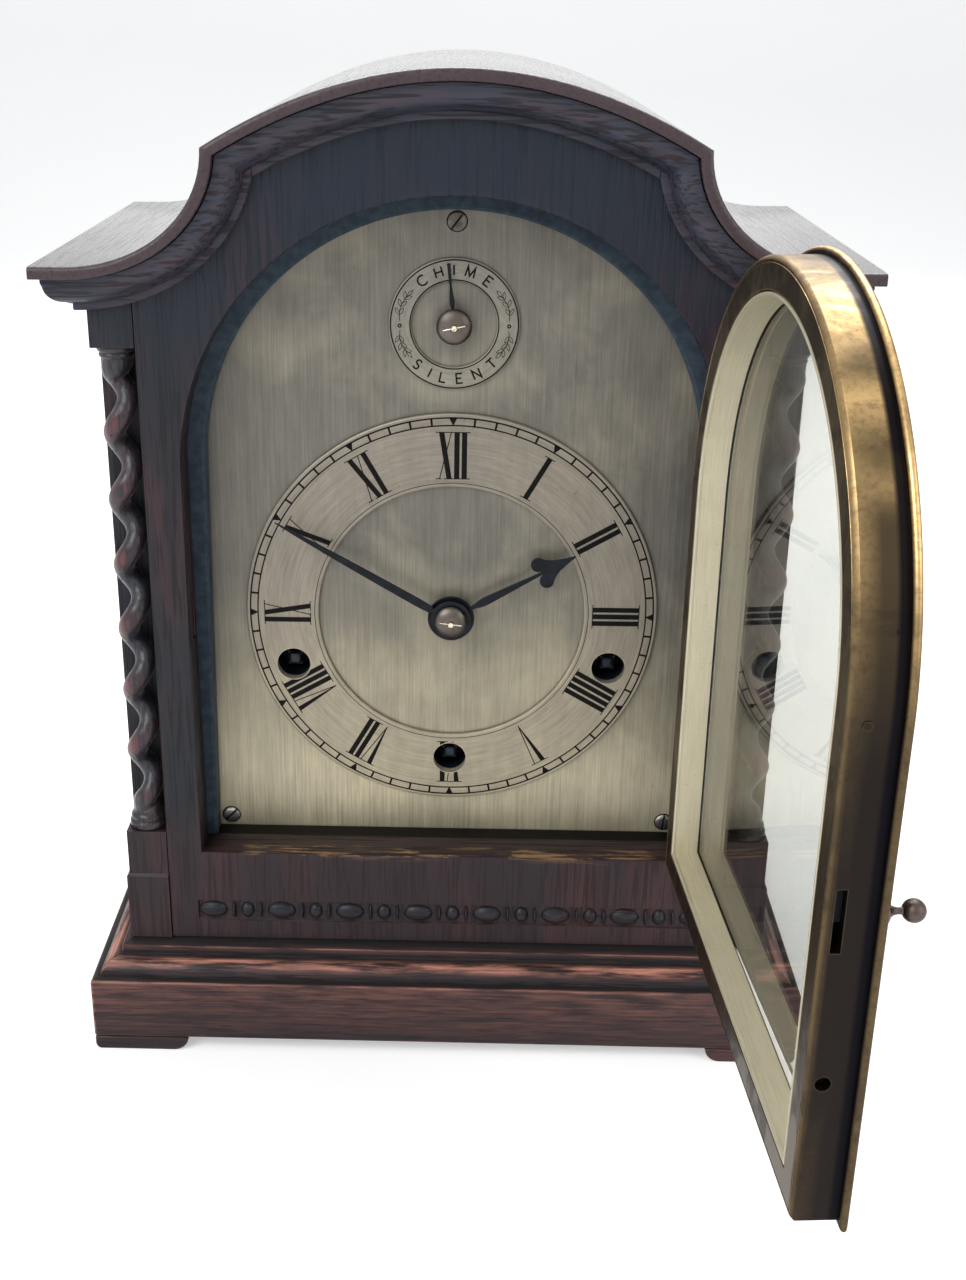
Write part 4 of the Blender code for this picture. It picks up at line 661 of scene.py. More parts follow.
def build_finishes(layout: Layout) -> dict[str, Material]:
    """Builds every finish on the clock.

    Args:
        layout: the shared sizes.

    Returns:
        The materials by name.
    """
    # The dark oaks' bluish greys, lighter on the cornice, stand partly for the sky in their polish: painted
    # reflection.
    dark, mid, red = rgb(18, 18, 23), rgb(32, 28, 34), rgb(88, 45, 42)
    # The plinth's pale rubbed colour is also the colour of its painted highlights on the ovolo and arrises.
    plinth = rgb(26, 18, 20), rgb(64, 38, 37), rgb(206, 142, 122)
    plinth_wear = {"rubbing": 0.95, "patchy": 0.06, "wavy": 1.4, "pores": 0.8}
    chime_z = layout.dial_z + layout.chime_rise
    coats = [
        Oak("oak_upright", Axis.Z, dark, mid, red, rubbing=0.5, patchy=0.55, raw_sill_and_sky_sheen=True),
        Oak("oak_level", Axis.X, dark, mid, red, rubbing=0.5),
        Oak("oak_cornice", Axis.X, rgb(35, 39, 51), rgb(57, 59, 72), rgb(90, 56, 55), rubbing=0.5,
            patchy=0.45),
        Oak("oak_depth", Axis.Y, rgb(25, 27, 34), rgb(49, 48, 57), red, rubbing=0.45),
        Oak("oak_twist", Axis.Z, rgb(15, 18, 24), rgb(46, 44, 51), rgb(118, 64, 62), rubbing=0.9,
            gloss=0.3, coat=0.2, sheen=0.2),
        Oak("oak_plinth_level", Axis.X, *plinth, **plinth_wear),
        Oak("oak_plinth_depth", Axis.Y, *plinth, **plinth_wear),
        Oak("oak_roof", Axis.Y, rgb(34, 26, 25), rgb(62, 47, 44), rgb(98, 74, 64), rubbing=0.3, gloss=0.2,
            coat=0.9, dull_nosing=True),
        Oak("oak_plain", Axis.X, rgb(84, 56, 36), rgb(128, 90, 58), rgb(150, 110, 74), rubbing=0.3,
            gloss=0.6),
        AgedBrass("aged_brass", darker_below=236 * MM),
        AgedBrass("knob_bronze", rgb(150, 130, 118), rgb(104, 90, 84), rgb(58, 50, 47), 0.5, 0.3),
        AgedBrass("movement_brass", rgb(196, 162, 104), rgb(150, 122, 74), rgb(84, 64, 40), 0.5, 0.34),
        AgedBrass("collet_bronze", rgb(158, 148, 134), rgb(104, 97, 90), rgb(60, 54, 49), 0.4, 0.3),
        Silvering("silvered_plate"),
        Silvering("silvered_ring", layout.dial_z, rgb(142, 134, 122), rgb(176, 166, 142)),
        Silvering("silvered_chime", chime_z, rgb(132, 128, 118), rgb(178, 168, 144)),
        BrushedBand("sight_silver"),
        # Painted reflection: the black-painted margin is given a bluish grey for the sky it reflects.
        Painted("margin_black", rgb(47, 57, 67), rgb(62, 73, 84), rough=0.5, specular=0.1),
        Painted("black_wax", rgb(8, 7, 8), rgb(20, 17, 17), rough=0.5, cells=900.0, specular=0.1),
        Painted("blued_steel", rgb(10, 13, 17), rgb(22, 28, 36), metal=0.5, rough=0.36, specular=0.3),
        Painted("grey_steel", rgb(104, 101, 94), rgb(74, 71, 66), metal=1.0, rough=0.3),
        Painted("arbor_steel", rgb(44, 51, 58), rgb(28, 33, 38), metal=0.7, rough=0.4),
        # Painted shade for the inside of the winding holes and the latch slot.
        Painted("well_blue", rgb(12, 18, 25), rgb(20, 28, 36), rough=0.5, specular=0.15),
        # Painted highlight: a pale coat for the gleam along the lower edge of the glass.
        Painted("ground_edge", rgb(244, 242, 236), rgb(252, 251, 247), rough=0.15),
        Painted("screw_steel", rgb(214, 211, 203), rgb(158, 153, 144), metal=1.0, rough=0.3, cells=500.0),
        Painted("bright_pin", rgb(236, 230, 214), rgb(200, 186, 160), metal=1.0, rough=0.2, cells=900.0),
        Pane("clear_glass"),
    ]
    return {coat.name: coat.build() for coat in coats}


# Surfaces as arrays


def grid(x: Array, y: Array, z: Array) -> Array:
    """A (rows, columns, 3) grid of points from coordinates that broadcast together."""
    return np.stack(np.broadcast_arrays(x, y, z), axis=-1)


def all_round(sides: int) -> Array:
    """Even angles round a full turn, without the last one."""
    return np.linspace(0, 2 * np.pi, sides, endpoint=False)


def grid_quads(rows: int, columns: int, wrap_rows: bool = False, wrap_columns: bool = False) -> Array:
    """Quads of a grid whose points are numbered row by row.

    Args:
        rows: number of rows.
        columns: number of points in a row.
        wrap_rows: whether the last row joins the first.
        wrap_columns: whether the last point of a row joins the first.

    Returns:
        (quads, 4) point numbers.
    """
    row = np.arange(rows if wrap_rows else rows - 1)[:, None]
    column = np.arange(columns if wrap_columns else columns - 1)[None, :]
    next_row, next_column = (row + 1) % rows, (column + 1) % columns
    corners = [row * columns + column, row * columns + next_column,
               next_row * columns + next_column, next_row * columns + column]
    return np.stack(np.broadcast_arrays(*corners), axis=-1).reshape(-1, 4)


def loft(sections: Array, closed: bool = False) -> Shape:
    """Skins closed sections: point (i, j) of the grid is point j of section i.

    Args:
        sections: (sections, points, 3) places.
        closed: whether the last section joins the first; otherwise both ends are capped.

    Returns:
        The points and the arrays of faces.
    """
    rows, columns, _ = sections.shape
    faces = [grid_quads(rows, columns, closed, True)]
    if not closed:
        faces.append(np.arange(columns)[None, ::-1])
        faces.append((rows - 1) * columns + np.arange(columns)[None, :])
    return sections.reshape(-1, 3), faces


def slab(outline: Sequence, start: float, end: float) -> Shape:
    """A flat (x, z) outline given a thickness along Y from start to end."""
    x, z = np.asarray(outline).T
    return loft(grid(x, np.array([[start], [end]]), z))


def box_shape(low: Floats, high: Floats) -> Shape:
    """A box between two corners."""
    outline = [(low[0], low[2]), (high[0], low[2]), (high[0], high[2]), (low[0], high[2])]
    return slab(outline, low[1], high[1])


def arc(centre: Floats, radius: float, start: float, end: float, steps: int) -> Array:
    """Points of a circle's arc: centre plus radius times (cos, sin) of evenly spaced angles.

    Args:
        centre: (x, z) of the centre.
        radius: its radius.
        start: first angle in degrees, anticlockwise from +X.
        end: last angle in degrees.
        steps: number of steps between them.

    Returns:
        (steps + 1, 2) points.
    """
    angle = np.radians(np.linspace(start, end, steps + 1))
    return np.column_stack([centre[0] + radius * np.cos(angle), centre[1] + radius * np.sin(angle)])


def arched(half: float, bottom: float, spring: float, steps: int = 96) -> Array:
    """A round-headed outline from its lower left corner round to the upper left.

    Args:
        half: half its width.
        bottom: height of its foot.
        spring: height at which the arch starts.
        steps: steps round the arch.

    Returns:
        (points, 2) outline.
    """
    return np.vstack([[(-half, bottom), (half, bottom)], arc((0.0, spring), half, 0, 180, steps)])


def mitre_steps(line: Array, closed: bool = False) -> Array:
    """The step at each point that moves a line one unit to its right: the mean of the two unit
    normals there, divided by its squared length.

    Args:
        line: (points, 2) places.
        closed: whether the last point joins the first.

    Returns:
        (points, 2) steps.
    """
    along = np.roll(line, -1, axis=0) - line
    along /= np.linalg.norm(along, axis=1, keepdims=True)
    normals = np.column_stack([along[:, 1], -along[:, 0]])
    before = np.roll(normals, 1, axis=0)
    if not closed:
        normals[-1] = before[-1]
        before[0] = normals[0]
    mean = (normals + before) / 2
    return mean / (mean**2).sum(axis=1, keepdims=True)


def swept(line: Array, across: Array, depth: Array, closed: bool = False) -> Array:
    """Sections of a moulding along a line on the front: the line moved to its right, at each depth.

    Args:
        line: (points, 2) places.
        across: how far each point of the profile lies to the line's right.
        depth: its place along Y.
        closed: whether the last point of the line joins the first.

    Returns:
        (points, profile, 3) sections.
    """
    steps = mitre_steps(line, closed)
    return grid(line[:, :1] + steps[:, :1] * across, depth, line[:, 1:] + steps[:, 1:] * across)


def between(inner: Array, outer: Array, share: Array, depth: Array) -> Array:
    """Sections from an inner to an outer loop: each point lies its share of the way out, at its depth.

    Args:
        inner: (points, 2) places.
        outer: (points, 2) places.
        share: shares of the way, for one section or for each.
        depth: places along Y for one section.

    Returns:
        (points, section, 3) sections.
    """
    spot = inner[:, None] + (outer - inner)[:, None] * share[..., None]
    return grid(spot[..., 0], depth, spot[..., 1])


def hoop(centre: Floats, section: Sequence, sides: int) -> Shape:
    """A closed (radius, depth) section carried round a centre on the dial.

    Args:
        centre: (x, z) of the centre.
        section: (radius, depth) corners.
        sides: steps round it.

    Returns:
        The points and the arrays of faces.
    """
    radius, depth = np.asarray(section).T
    angle = all_round(sides)[:, None]
    x, z = centre[0] + np.sin(angle) * radius, centre[1] + np.cos(angle) * radius
    return loft(grid(x, depth, z), closed=True)


def rounded(profile: Array, radii: Floats, steps: int = 4) -> Array:
    """A closed profile with its corners rounded: each corner becomes a quadratic curve between
    points at the radius along its two sides, with the corner as the middle control point.

    Args:
        profile: (points, 2) corners.
        radii: how far from each corner the rounding starts.
        steps: steps round each corner.

    Returns:
        The new profile.
    """
    t = np.linspace(0, 1, steps + 1)[:, None]
    found = []
    for i, radius in enumerate(radii):
        corner, before, after = profile[i], profile[i - 1], profile[(i + 1) % len(profile)]
        start = corner + (before - corner) / np.linalg.norm(before - corner) * radius
        end = corner + (after - corner) / np.linalg.norm(after - corner) * radius
        found.append((1 - t) ** 2 * start + 2 * t * (1 - t) * corner + t**2 * end)
    return np.vstack(found)


def turned(profile: Sequence, centre: Floats, axis: Floats, sides: int = 64,
           closed: bool = False) -> Shape:
    """A turned shape: (distance along the axis, radius) points carried round the axis.

    Args:
        profile: (points, 2) places.
        centre: point on the axis.
        axis: direction of the axis.
        sides: steps round it.
        closed: whether the profile is a closed loop, as of a ring; otherwise its ends are capped.

    Returns:
        The points and the arrays of faces.
    """
    main = np.asarray(axis, float) / np.linalg.norm(axis)
    across = np.cross(main, [0.0, 0.0, 1.0])
    across /= np.linalg.norm(across)
    angle = all_round(sides)[:, None]
    spokes = np.cos(angle) * across + np.sin(angle) * np.cross(main, across)
    along, radius = np.asarray(profile, float).T[:, :, None, None]
    return loft(np.asarray(centre, float) + along * main + radius * spokes, closed)


def joined(parts: Iterable[Shape]) -> Shape:
    """Several surfaces as one set of points and faces.

    Args:
        parts: points and faces of each surface.

    Returns:
        The points and the arrays of faces.
    """
    points, faces, count = [], [], 0
    for part_points, part_faces in parts:
        points.append(part_points)
        faces += [array + count for array in part_faces]
        count += len(part_points)
    return np.vstack(points), faces


def turning(pivot: Floats, axis: Axis, angle: float) -> Matrix:
    """The turn in metres about an axis through a pivot: Z for a door, Y for a hand."""
    middle = Vector(pivot) * MM
    return Matrix.Translation(middle) @ Matrix.Rotation(angle, 4, axis.name) @ Matrix.Translation(-middle)


# Pieces


@dataclass
class Piece:
    """A named mesh made from arrays, with what it rides on and what it stands for."""

    name: str
    shape: Shape
    finish: Material
    body: str = "case"
    replaces: str = ""
    slot: str = ""
    smooth: float = 30.0
    marks: Marks = field(default_factory=dict)
    cutters: Sequence[Shape] = ()
    bevel: float = 0.0
    bevel_steps: int = 2
    turn: Matrix | None = None

    def build(self) -> None:
        """Makes the object, cuts it, turns it to where it stands, and ties it to the frame."""
        obj = new_object(self.name, self.shape, self.marks)
        if self.cutters:
            carve(obj, self.cutters)
        if self.turn:
            points = np.empty(len(obj.data.vertices) * 3)
            obj.data.vertices.foreach_get("co", points)
            matrix = np.array(self.turn)
            moved = points.reshape(-1, 3) @ matrix[:3, :3].T + matrix[:3, 3]
            obj.data.vertices.foreach_set("co", moved.ravel())
            obj.data.update()
        coat(obj, self.finish, self.smooth, self.bevel, self.bevel_steps)
        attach(obj, self.body)
        if self.replaces:
            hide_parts(self.replaces)
        LOG.info("%s: %d points", self.name, len(obj.data.vertices))


def new_object(name: str, shape: Shape, marks: Marks | None = None) -> bpy.types.Object:
    """Puts arrays in millimetres into a mesh in metres with outward faces.

    Args:
        name: name of the object.
        shape: points and arrays of faces.
        marks: values for each point, or for one section and so for all, by attribute name.

    Returns:
        The object.
    """
    points, faces = shape
    mesh = bpy.data.meshes.new(name)
    sizes = np.concatenate([np.full(len(array), array.shape[1]) for array in faces])
    corners = np.concatenate([array.ravel() for array in faces]).astype(np.int32)
    mesh.vertices.add(len(points))
    mesh.vertices.foreach_set("co", (points * MM).astype(np.float32).ravel())
    mesh.loops.add(len(corners))
    mesh.loops.foreach_set("vertex_index", corners)
    mesh.polygons.add(len(sizes))
    starts = np.concatenate([[0], np.cumsum(sizes)[:-1]]).astype(np.int32)
    mesh.polygons.foreach_set("loop_start", starts)
    mesh.update(calc_edges=True)
    mesh.validate()
    for key, values in (marks or {}).items():
        attribute = mesh.attributes.new(key, "FLOAT", "POINT")
        attribute.data.foreach_set("value", np.resize(values, len(points)).astype(np.float32))
    bm = bmesh.new()
    bm.from_mesh(mesh)
    bmesh.ops.recalc_face_normals(bm, faces=bm.faces)
    bm.to_mesh(mesh)
    bm.free()
    obj = bpy.data.objects.new(name, mesh)
    bpy.context.scene.collection.objects.link(obj)
    return obj


def carve(obj: bpy.types.Object, cutters: Sequence[Shape]) -> None:
    """Cuts closed helper shapes out of an object and keeps the result as its mesh.

    Args:
        obj: what is cut.
        cutters: points and faces of each helper.
    """
    helpers = []
    for number, cutter in enumerate(cutters):
        helper = new_object(f"{obj.name}_cutter_{number}", cutter)
        modifier = obj.modifiers.new(f"cut_{number}", "BOOLEAN")
        modifier.operation = "DIFFERENCE"
        modifier.solver = "EXACT"
        modifier.use_self = True
        modifier.object = helper
        helpers.append(helper)
    graph = bpy.context.evaluated_depsgraph_get()
    mesh = bpy.data.meshes.new_from_object(obj.evaluated_get(graph), depsgraph=graph)
    obj.modifiers.clear()
    obj.data = mesh
    for helper in helpers:
        bpy.data.objects.remove(helper, do_unlink=True)


def coat(obj: bpy.types.Object, finish: Material, smooth: float, bevel: float, steps: int = 2) -> None:
    """Gives an object its finish, smooth shading and rounded edges.

    Args:
        obj: what is coated.
        finish: its only material.
        smooth: angle in degrees below which its faces shade as one.
        bevel: width of the rounding of edges over 40 degrees.
        steps: segments of the rounding.
    """
    obj.data.materials.clear()
    obj.data.materials.append(finish)
    obj.data.shade_smooth()
    obj.data.set_sharp_from_angle(angle=math.radians(smooth))
    if bevel > 0:
        modifier = obj.modifiers.new("rounded_edges", "BEVEL")
        modifier.width = bevel * MM
        modifier.segments = steps
        modifier.limit_method = "ANGLE"
        modifier.angle_limit = math.radians(40.0)


@dataclass
class Assembly:
    """What each sub-assembly works with: the shared sizes, the finishes and the loaded frame."""

    layout: Layout
    finishes: dict[str, Material]
    frame: dict

    def piece(self, name: str, shape: Shape, finish: str, **options: object) -> None:
        """Makes a piece; the options are the other fields of Piece."""
        Piece(name, shape, self.finishes[finish], **options).build()

    def dress(self, finish: str, bevel: float, *names: str) -> None:
        """Gives carried CAD nodes a finish and eased edges."""
        for name in names:
            coat(self.frame["nodes"][name], self.finishes[finish], 30.0, bevel)


# Roof, cornice and front board


@dataclass
class Roof(Assembly):
    """The bent roof slab and the cornice under it."""

    arch_steps: int = 44
    shoulder_steps: int = 22
    edge_radii: tuple[float, ...] = (0.4, 1.4, 0.7, 0.4)

    def line(self) -> Array:
        """The roof from left to right: a shallow arch (height falls with x squared), a hollow quarter
        ellipse down from each cusp, and level ends.

        Returns:
            (points, 2) places.
        """
        place = self.layout
        x = np.linspace(0, place.cusp_x, self.arch_steps + 1)
        crown = np.column_stack([x, place.roof_top - x**2 / (2 * place.arch_radius)])
        angle = np.linspace(0, np.pi / 2, self.shoulder_steps + 1)[1:]
        hollow = np.column_stack([place.cusp_x + place.shoulder_width * (1 - np.cos(angle)),
                                  place.cusp_z - place.shoulder_drop * np.sin(angle)])
        half = np.vstack([crown, hollow, [(place.case_half + place.roof_projection, place.shoulder_z)]])
        return np.vstack([half[:0:-1] * [-1, 1], half])

    def under(self, half: float, drop: float) -> Array:
        """The roof line moved down by a drop and cut off at half a width, from left to right.

        Args:
            half: half the width.
            drop: how far it is moved down.

        Returns:
            (points, 2) places.
        """
        line = self.line()
        moved = line + mitre_steps(line) * drop
        keep = moved[np.abs(moved[:, 0]) < half]
        height = np.interp(half, moved[:, 0], moved[:, 1])
        return np.vstack([[(-half, height)], keep, [(half, height)]])

    def profile(self) -> tuple[Array, Array]:
        """(projection, depth under the roof's top) of the cornice, with how worn each point is.

        Returns:
            The points and their wear.
        """
        top = self.layout.roof_thickness + self.layout.seat
        points = np.vstack([[(0.3, top), (9.9, top), (9.9, 4.6)], arc((4.0, 5.2), 5.5, 8, 84, 12),
                            [(3.6, 11.2), (3.0, 11.3), (3.0, 12.9), (2.7, 13.2), (0.3, 13.2)]])
        wear = np.zeros(len(points))
        wear[3:9] = 0.45
        wear[-3:-1] = 0.5
        return points, wear

    def build(self) -> None:
        """Makes the roof board, a (depth, drop) section carried along the roof line, and the cornice."""
        place = self.layout
        front, back, thick = place.front - place.roof_projection, place.back, place.roof_thickness
        corners = np.array([(back, 0.0), (front, 0.0), (front, thick), (back, thick)])
        depth, drop = rounded(corners, self.edge_radii).T
        # On the nosing the shade mark tints the oak reddish and takes off its coat; it does not darken it.
        shade = np.zeros(len(depth))
        shade[6:14] = 0.75
        self.piece("roof_board", loft(swept(self.line(), drop, depth)), "oak_roof", replaces="roof",
                   slot="oak_roof", bevel=0.5, marks={"shade": shade}, smooth=35)
        self.build_cornice()

    def build_cornice(self) -> None:
        """Makes the moulding along the roof line across the front, mitred to its side returns."""
        place = self.layout
        profile, wear = self.profile()
        out, drop = profile.T
        over = 2 * place.roof_projection
        heights = np.array([[place.shoulder_z - over], [place.roof_top]])
        cutters = []
        for side, _ in SIDES:
            corner = side * (place.case_half - place.seat / 2)
            x, y = np.array([(corner - side, place.front + 1.0), (corner + side * over, place.front - over),
                             (corner + side * over, place.front + 1.0)]).T
            cutters.append(loft(grid(x, y, heights)))
        looks = {"slot": "oak_case", "smooth": 25, "marks": {"wear": wear}}
        self.piece("cornice_arch", loft(swept(self.line(), drop, place.front - out)), "oak_cornice",
                   replaces="cornice_front", cutters=cutters, **looks)
        for side, word in SIDES:
            y = np.stack([place.front - out + place.seat / 2, np.full_like(out, place.back)])
            run = grid(side * (place.case_half + out), y, place.shoulder_z - drop)
            self.piece(f"cornice_return_{word}", loft(run), "oak_depth", replaces=f"cornice_{word}", **looks)


@dataclass
class FrontBoard(Assembly):
    """The front board with its arched opening, seen with its worn inner edge."""

    roof: Roof
    channel_height: float = 3.7
    channel_depth: float = 0.7
    channel_slope: float = 0.5
    edge_steps: int = 40
    ease: float = 0.7
    hinge_end: float = 85.44
    hinge_rest: float = 1.4
    keep_bite: float = 3.8
    keep_depths: tuple[float, float] = (5.9, 9.7)
    keep_half: float = 7.8
    raw_half: float = 66.0

    def resampled(self, line: Array, count: int) -> Array:
        """Points at even distances along a line, keeping both ends.

        Args:
            line: (points, 2) places.
            count: number of new points.

        Returns:
            (count, 2) places.
        """
        lengths = np.concatenate([[0.0], np.cumsum(np.linalg.norm(np.diff(line, axis=0), axis=1))])
        wanted = np.linspace(0, lengths[-1], count)
        return np.column_stack([np.interp(wanted, lengths, line[:, k]) for k in (0, 1)])

    def loop(self, half: float, low: float, high: float, head: Array) -> Array:
        """An outline of a foot, two upright sides and a head, anticlockwise from the lower left.

        Args:
            half: half its width.
            low: height of its foot.
            high: height at which its head starts.
            head: points of its head, from right to left.

        Returns:
            (points, 2) places.
        """
        corners = ((-half, low), (half, low)), ((half, low), (half, high)), ((-half, high), (-half, low))
        foot, right, left = (np.linspace(start, end, self.edge_steps) for start, end in corners)
        return np.vstack([part[:-1] for part in (foot, right, head, left)])

    def channel(self) -> Shape:
        """Cutter for the sunk ground of the bead strip, with sloping walls all round.

        Returns:
            The points and the arrays of faces.
        """
        place = self.layout
        middle, front, slope = place.body_z + place.strip_rise, place.front, self.channel_slope
        loops = []
        for depth, grow in ((front + self.channel_depth, -slope), (front, 0.0), (front - 2.0, slope)):
            reach = place.seat + grow
            left, right = place.strip_left - reach, place.strip_right + reach
            low, high = (middle + way * (self.channel_height + grow) for way in (-1, 1))
            loops.append([(left, depth, low), (right, depth, low), (right, depth, high), (left, depth, high)])
        return loft(np.array(loops))

    def build(self) -> None:
        """Makes the board: each section runs from the opening's loop to the outline's loop."""
        place, ease = self.layout, self.ease
        half, spring, front = place.board_half, place.spring_z, place.front
        top = self.roof.under(half, place.roof_thickness + place.seat)[::-1]
        steps = 2 * self.roof.arch_steps + 41
        inner = self.loop(place.opening_half, place.sill_z, spring,
                          arc((0.0, spring), place.opening_half, 0, 180, steps - 1))
        outer = self.loop(half, place.body_z + place.seat, top[0][1], self.resampled(top, steps))
        span = np.linalg.norm(outer - inner, axis=1, keepdims=True)
        inset, depth, raw = np.array([
            (0.0, place.front_thickness, 0.0), (0.0, 7.0, 0.0), (0.0, 4.5, 0.8), (0.0, 1.9, 1.0),
            (0.0, ease, 0.8), (0.3 * ease, 0.35 * ease, 0.6), (ease, 0.0, 0.2), (2.4, 0.0, 0.0),
            (np.inf, 0.0, 0.0), (np.inf, place.front_thickness, 0.0)]).T
        sections = between(inner, outer, np.minimum(inset / span, 1.0), front + depth)
        sill = (inner[:, 1] < place.sill_z + 0.1) & (np.abs(inner[:, 0]) < self.raw_half)
        cutters = [self.channel()]
        for rise in place.hinge_rises:
            middle = place.dial_z + rise
            cutters.append(box_shape((place.opening_half - 5, front - 5, middle - place.hinge_half),
                                     (self.hinge_end, front + self.hinge_rest, middle + place.hinge_half)))
        edge, knob_z = -place.opening_half, place.dial_z + place.knob_rise
        near, far = self.keep_depths
        cutters.append(box_shape((edge - self.keep_bite, front + near, knob_z - self.keep_half),
                                 (edge + 5, front + far, knob_z + self.keep_half)))
        self.piece("front_board", loft(sections, closed=True), "oak_upright", replaces="front_frame",
                   slot="oak_case", marks={"raw": sill[:, None] * raw}, cutters=cutters)


# Columns and their blocks


@dataclass
class Columns(Assembly):
    """Barley-twist columns with turned ends, and the blocks above and below them."""

    pitch: float = 20.5
    strand: float = 3.15
    offset: float = 2.25
    sides: int = 48
    rings: int = 300
    plain: float = 4.6
    fading: float = 6.5
    pedestal: float = 39.0
    block: float = 24.3
    phases: tuple[float, float] = (59.9, 57.5)
    post_gap: float = 0.1
    post_depth: float = 7.4

    def column(self, side: int, phase: float) -> Shape:
        """A round strand whose middle runs round a helix: centre + offset (cos t, -sin t) with
        t = 2 pi (z - phase) / pitch, its section square to that path, fading into plain turned ends.

        Args:
            side: -1 for the left column, 1 for the right, which is wound the other way.
            phase: height over the dial's centre at which a bulge faces outward.

        Returns:
            The points and the arrays of faces.
        """
        place = self.layout
        bottom = place.body_z + self.pedestal + place.seat
        top = place.shoulder_z - self.block - place.seat
        base = np.array([(0.0, 6.0), (0.4, 6.15), (1.3, 6.1), (1.9, 5.9), (2.1, 5.5), (2.3, 5.35), (2.6, 5.5),
                         (3.4, 5.6), (4.0, 5.4), (4.3, 5.0), (4.6, 4.85), (5.2, 4.8)])
        cap = np.array([(0.0, 5.6), (0.9, 5.7), (1.3, 5.5), (1.5, 5.1), (1.7, 4.95), (2.0, 5.1), (2.5, 5.25),
                        (3.0, 5.1), (3.2, 4.8), (3.6, 4.7)])
        start, end = bottom + base[-1, 0], top - cap[-1, 0]
        z = np.linspace(start, end, self.rings)
        fade = np.clip(np.minimum(z - start, end - z) / self.fading, 0.0, 1.0)
        fade = fade * fade * (3 - 2 * fade)
        radius = self.strand + (self.plain - self.strand) * (1 - fade)
        turn = 2 * np.pi * (z - place.dial_z - phase) / self.pitch
        out = np.column_stack([np.cos(turn), -np.sin(turn), np.zeros_like(turn)])
        path = out * (self.offset * fade)[:, None]
        path[:, 2] = z
        along = np.gradient(path, axis=0)
        along /= np.linalg.norm(along, axis=1, keepdims=True)
        out -= along * (out * along).sum(axis=1, keepdims=True)
        out /= np.linalg.norm(out, axis=1, keepdims=True)
        across = np.cross(along, out)
        even = all_round(self.sides)
        angle = even - turn[:, None]
        reach = out[:, None] * np.cos(angle)[..., None] - across[:, None] * np.sin(angle)[..., None]
        twist = path[:, None] + reach * radius[:, None, None]
        low, high = (grid(radii[:, None] * np.cos(even), -radii[:, None] * np.sin(even), heights[:, None])
                     for heights, radii in ((bottom + base[:-1, 0], base[:-1, 1]),
                                            (top - cap[-2::-1, 0], cap[-2::-1, 1])))
        middle = (place.case_half - place.column_bay / 2, place.front + place.column_bay / 2, 0.0)
        return loft((np.concatenate([low, twist, high]) + middle) * (side, 1, 1))

    def post(self, side: int) -> Shape:
        """The square post that closes the case between the front board and a side panel.

        Args:
            side: -1 for the left, 1 for the right.

        Returns:
            The points and the arrays of faces.
        """
        place = self.layout
        gap = self.post_gap
        front = place.front + place.front_thickness + gap
        left, right = sorted((side * (place.board_half + gap), side * (place.case_half - place.panel - gap)))
        top = place.shoulder_z - place.roof_thickness - 2 * place.seat
        return box_shape((left, front, place.body_z + 2 * place.seat),
                         (right, front + self.post_depth, top))

    def build(self) -> None:
        """Makes the columns and corner posts, and dresses their blocks."""
        for (side, word), phase in zip(SIDES, self.phases):
            points, faces = self.column(side, phase)
            middle = np.array([side * (self.layout.case_half - self.layout.column_bay / 2),
                               self.layout.front + self.layout.column_bay / 2])
            reach = np.linalg.norm(points[:, :2] - middle, axis=1)
            twisted = np.abs(points[:, 2] - points[:, 2].mean()) < np.ptp(points[:, 2]) / 2 - 9
            outward = np.clip(0.5 + (points[:, 0] * side - abs(middle[0])) / 9, 0, 1)
            wear = np.clip((reach - 3.6) / 1.8, 0, 1) * twisted * outward
            self.piece(f"twist_column_{word}", (points, faces), "oak_twist", replaces=f"column_{word}",
                       slot="oak_case", smooth=50, marks={"wear": wear})
            self.piece(f"corner_post_{word}", self.post(side), "oak_upright", marks={"shade": np.array(0.6)})
            self.dress("oak_upright", 0.45, f"top_block_{word}", f"pedestal_{word}")


# Bead and reel


@dataclass
class BeadStrip(Assembly):
    """The half-round carved strip along the foot of the front."""

    radius: float = 3.1
    bulge: float = 2.6
    pitch: float = 22.2
    long_bead: float = 9.4
    round_bead: float = 4.6
    reel: float = 1.15
    neck: float = 0.9

    def radii(self, x: Array) -> Array:
        """Radius of the strip at each x: in each pitch an oval bead, a thin disc, a round bead and a
        disc, each as radius times a power of 1 minus the square of the place in it.

        Args:
            x: places along the strip.

        Returns:
            The radius at each place.
        """
        local = np.mod(x - self.layout.strip_left, self.pitch)
        space = (self.pitch - self.long_bead - self.round_bead) / 2
        middle = self.long_bead + space
        shapes = [(0.0, self.long_bead, 1.0, 0.42), (middle, self.round_bead, 0.95, 0.45)]
        for start in (self.long_bead, middle + self.round_bead):
            shapes.append((start + (space - self.reel) / 2, self.reel, 0.95, 0.3))
        found = np.full_like(x, self.neck)
        for start, length, share, power in shapes:
            place = np.clip(2 * (local - start) / length - 1, -1, 1)
            found = np.maximum(found, self.radius * share * np.power(1 - place**2, power))
        return found

    def build(self) -> None:
        """Makes the strip: half ovals of the radius at each x, standing in the channel."""
        place = self.layout
        x = np.linspace(place.strip_left, place.strip_right, 2200)[:, None]
        radius = self.radii(x)
        radius[[0, -1]] = self.neck
        angle = np.linspace(0, np.pi, 15)
        sections = grid(x, place.front + place.strip_depth - place.seat
                        - radius * np.sin(angle) * self.bulge / self.radius,
                        place.body_z + place.strip_rise + radius * np.cos(angle))
        wear = np.clip(radius - 2.4, 0, 1) * np.clip(np.sin(angle - 0.5) * 1.6 - 0.9, 0, 1) * 0.5
        self.piece("bead_strip", loft(sections), "oak_level", replaces="bead_and_reel", slot="oak_case",
                   marks={"wear": wear}, smooth=50)


# Plinth and feet


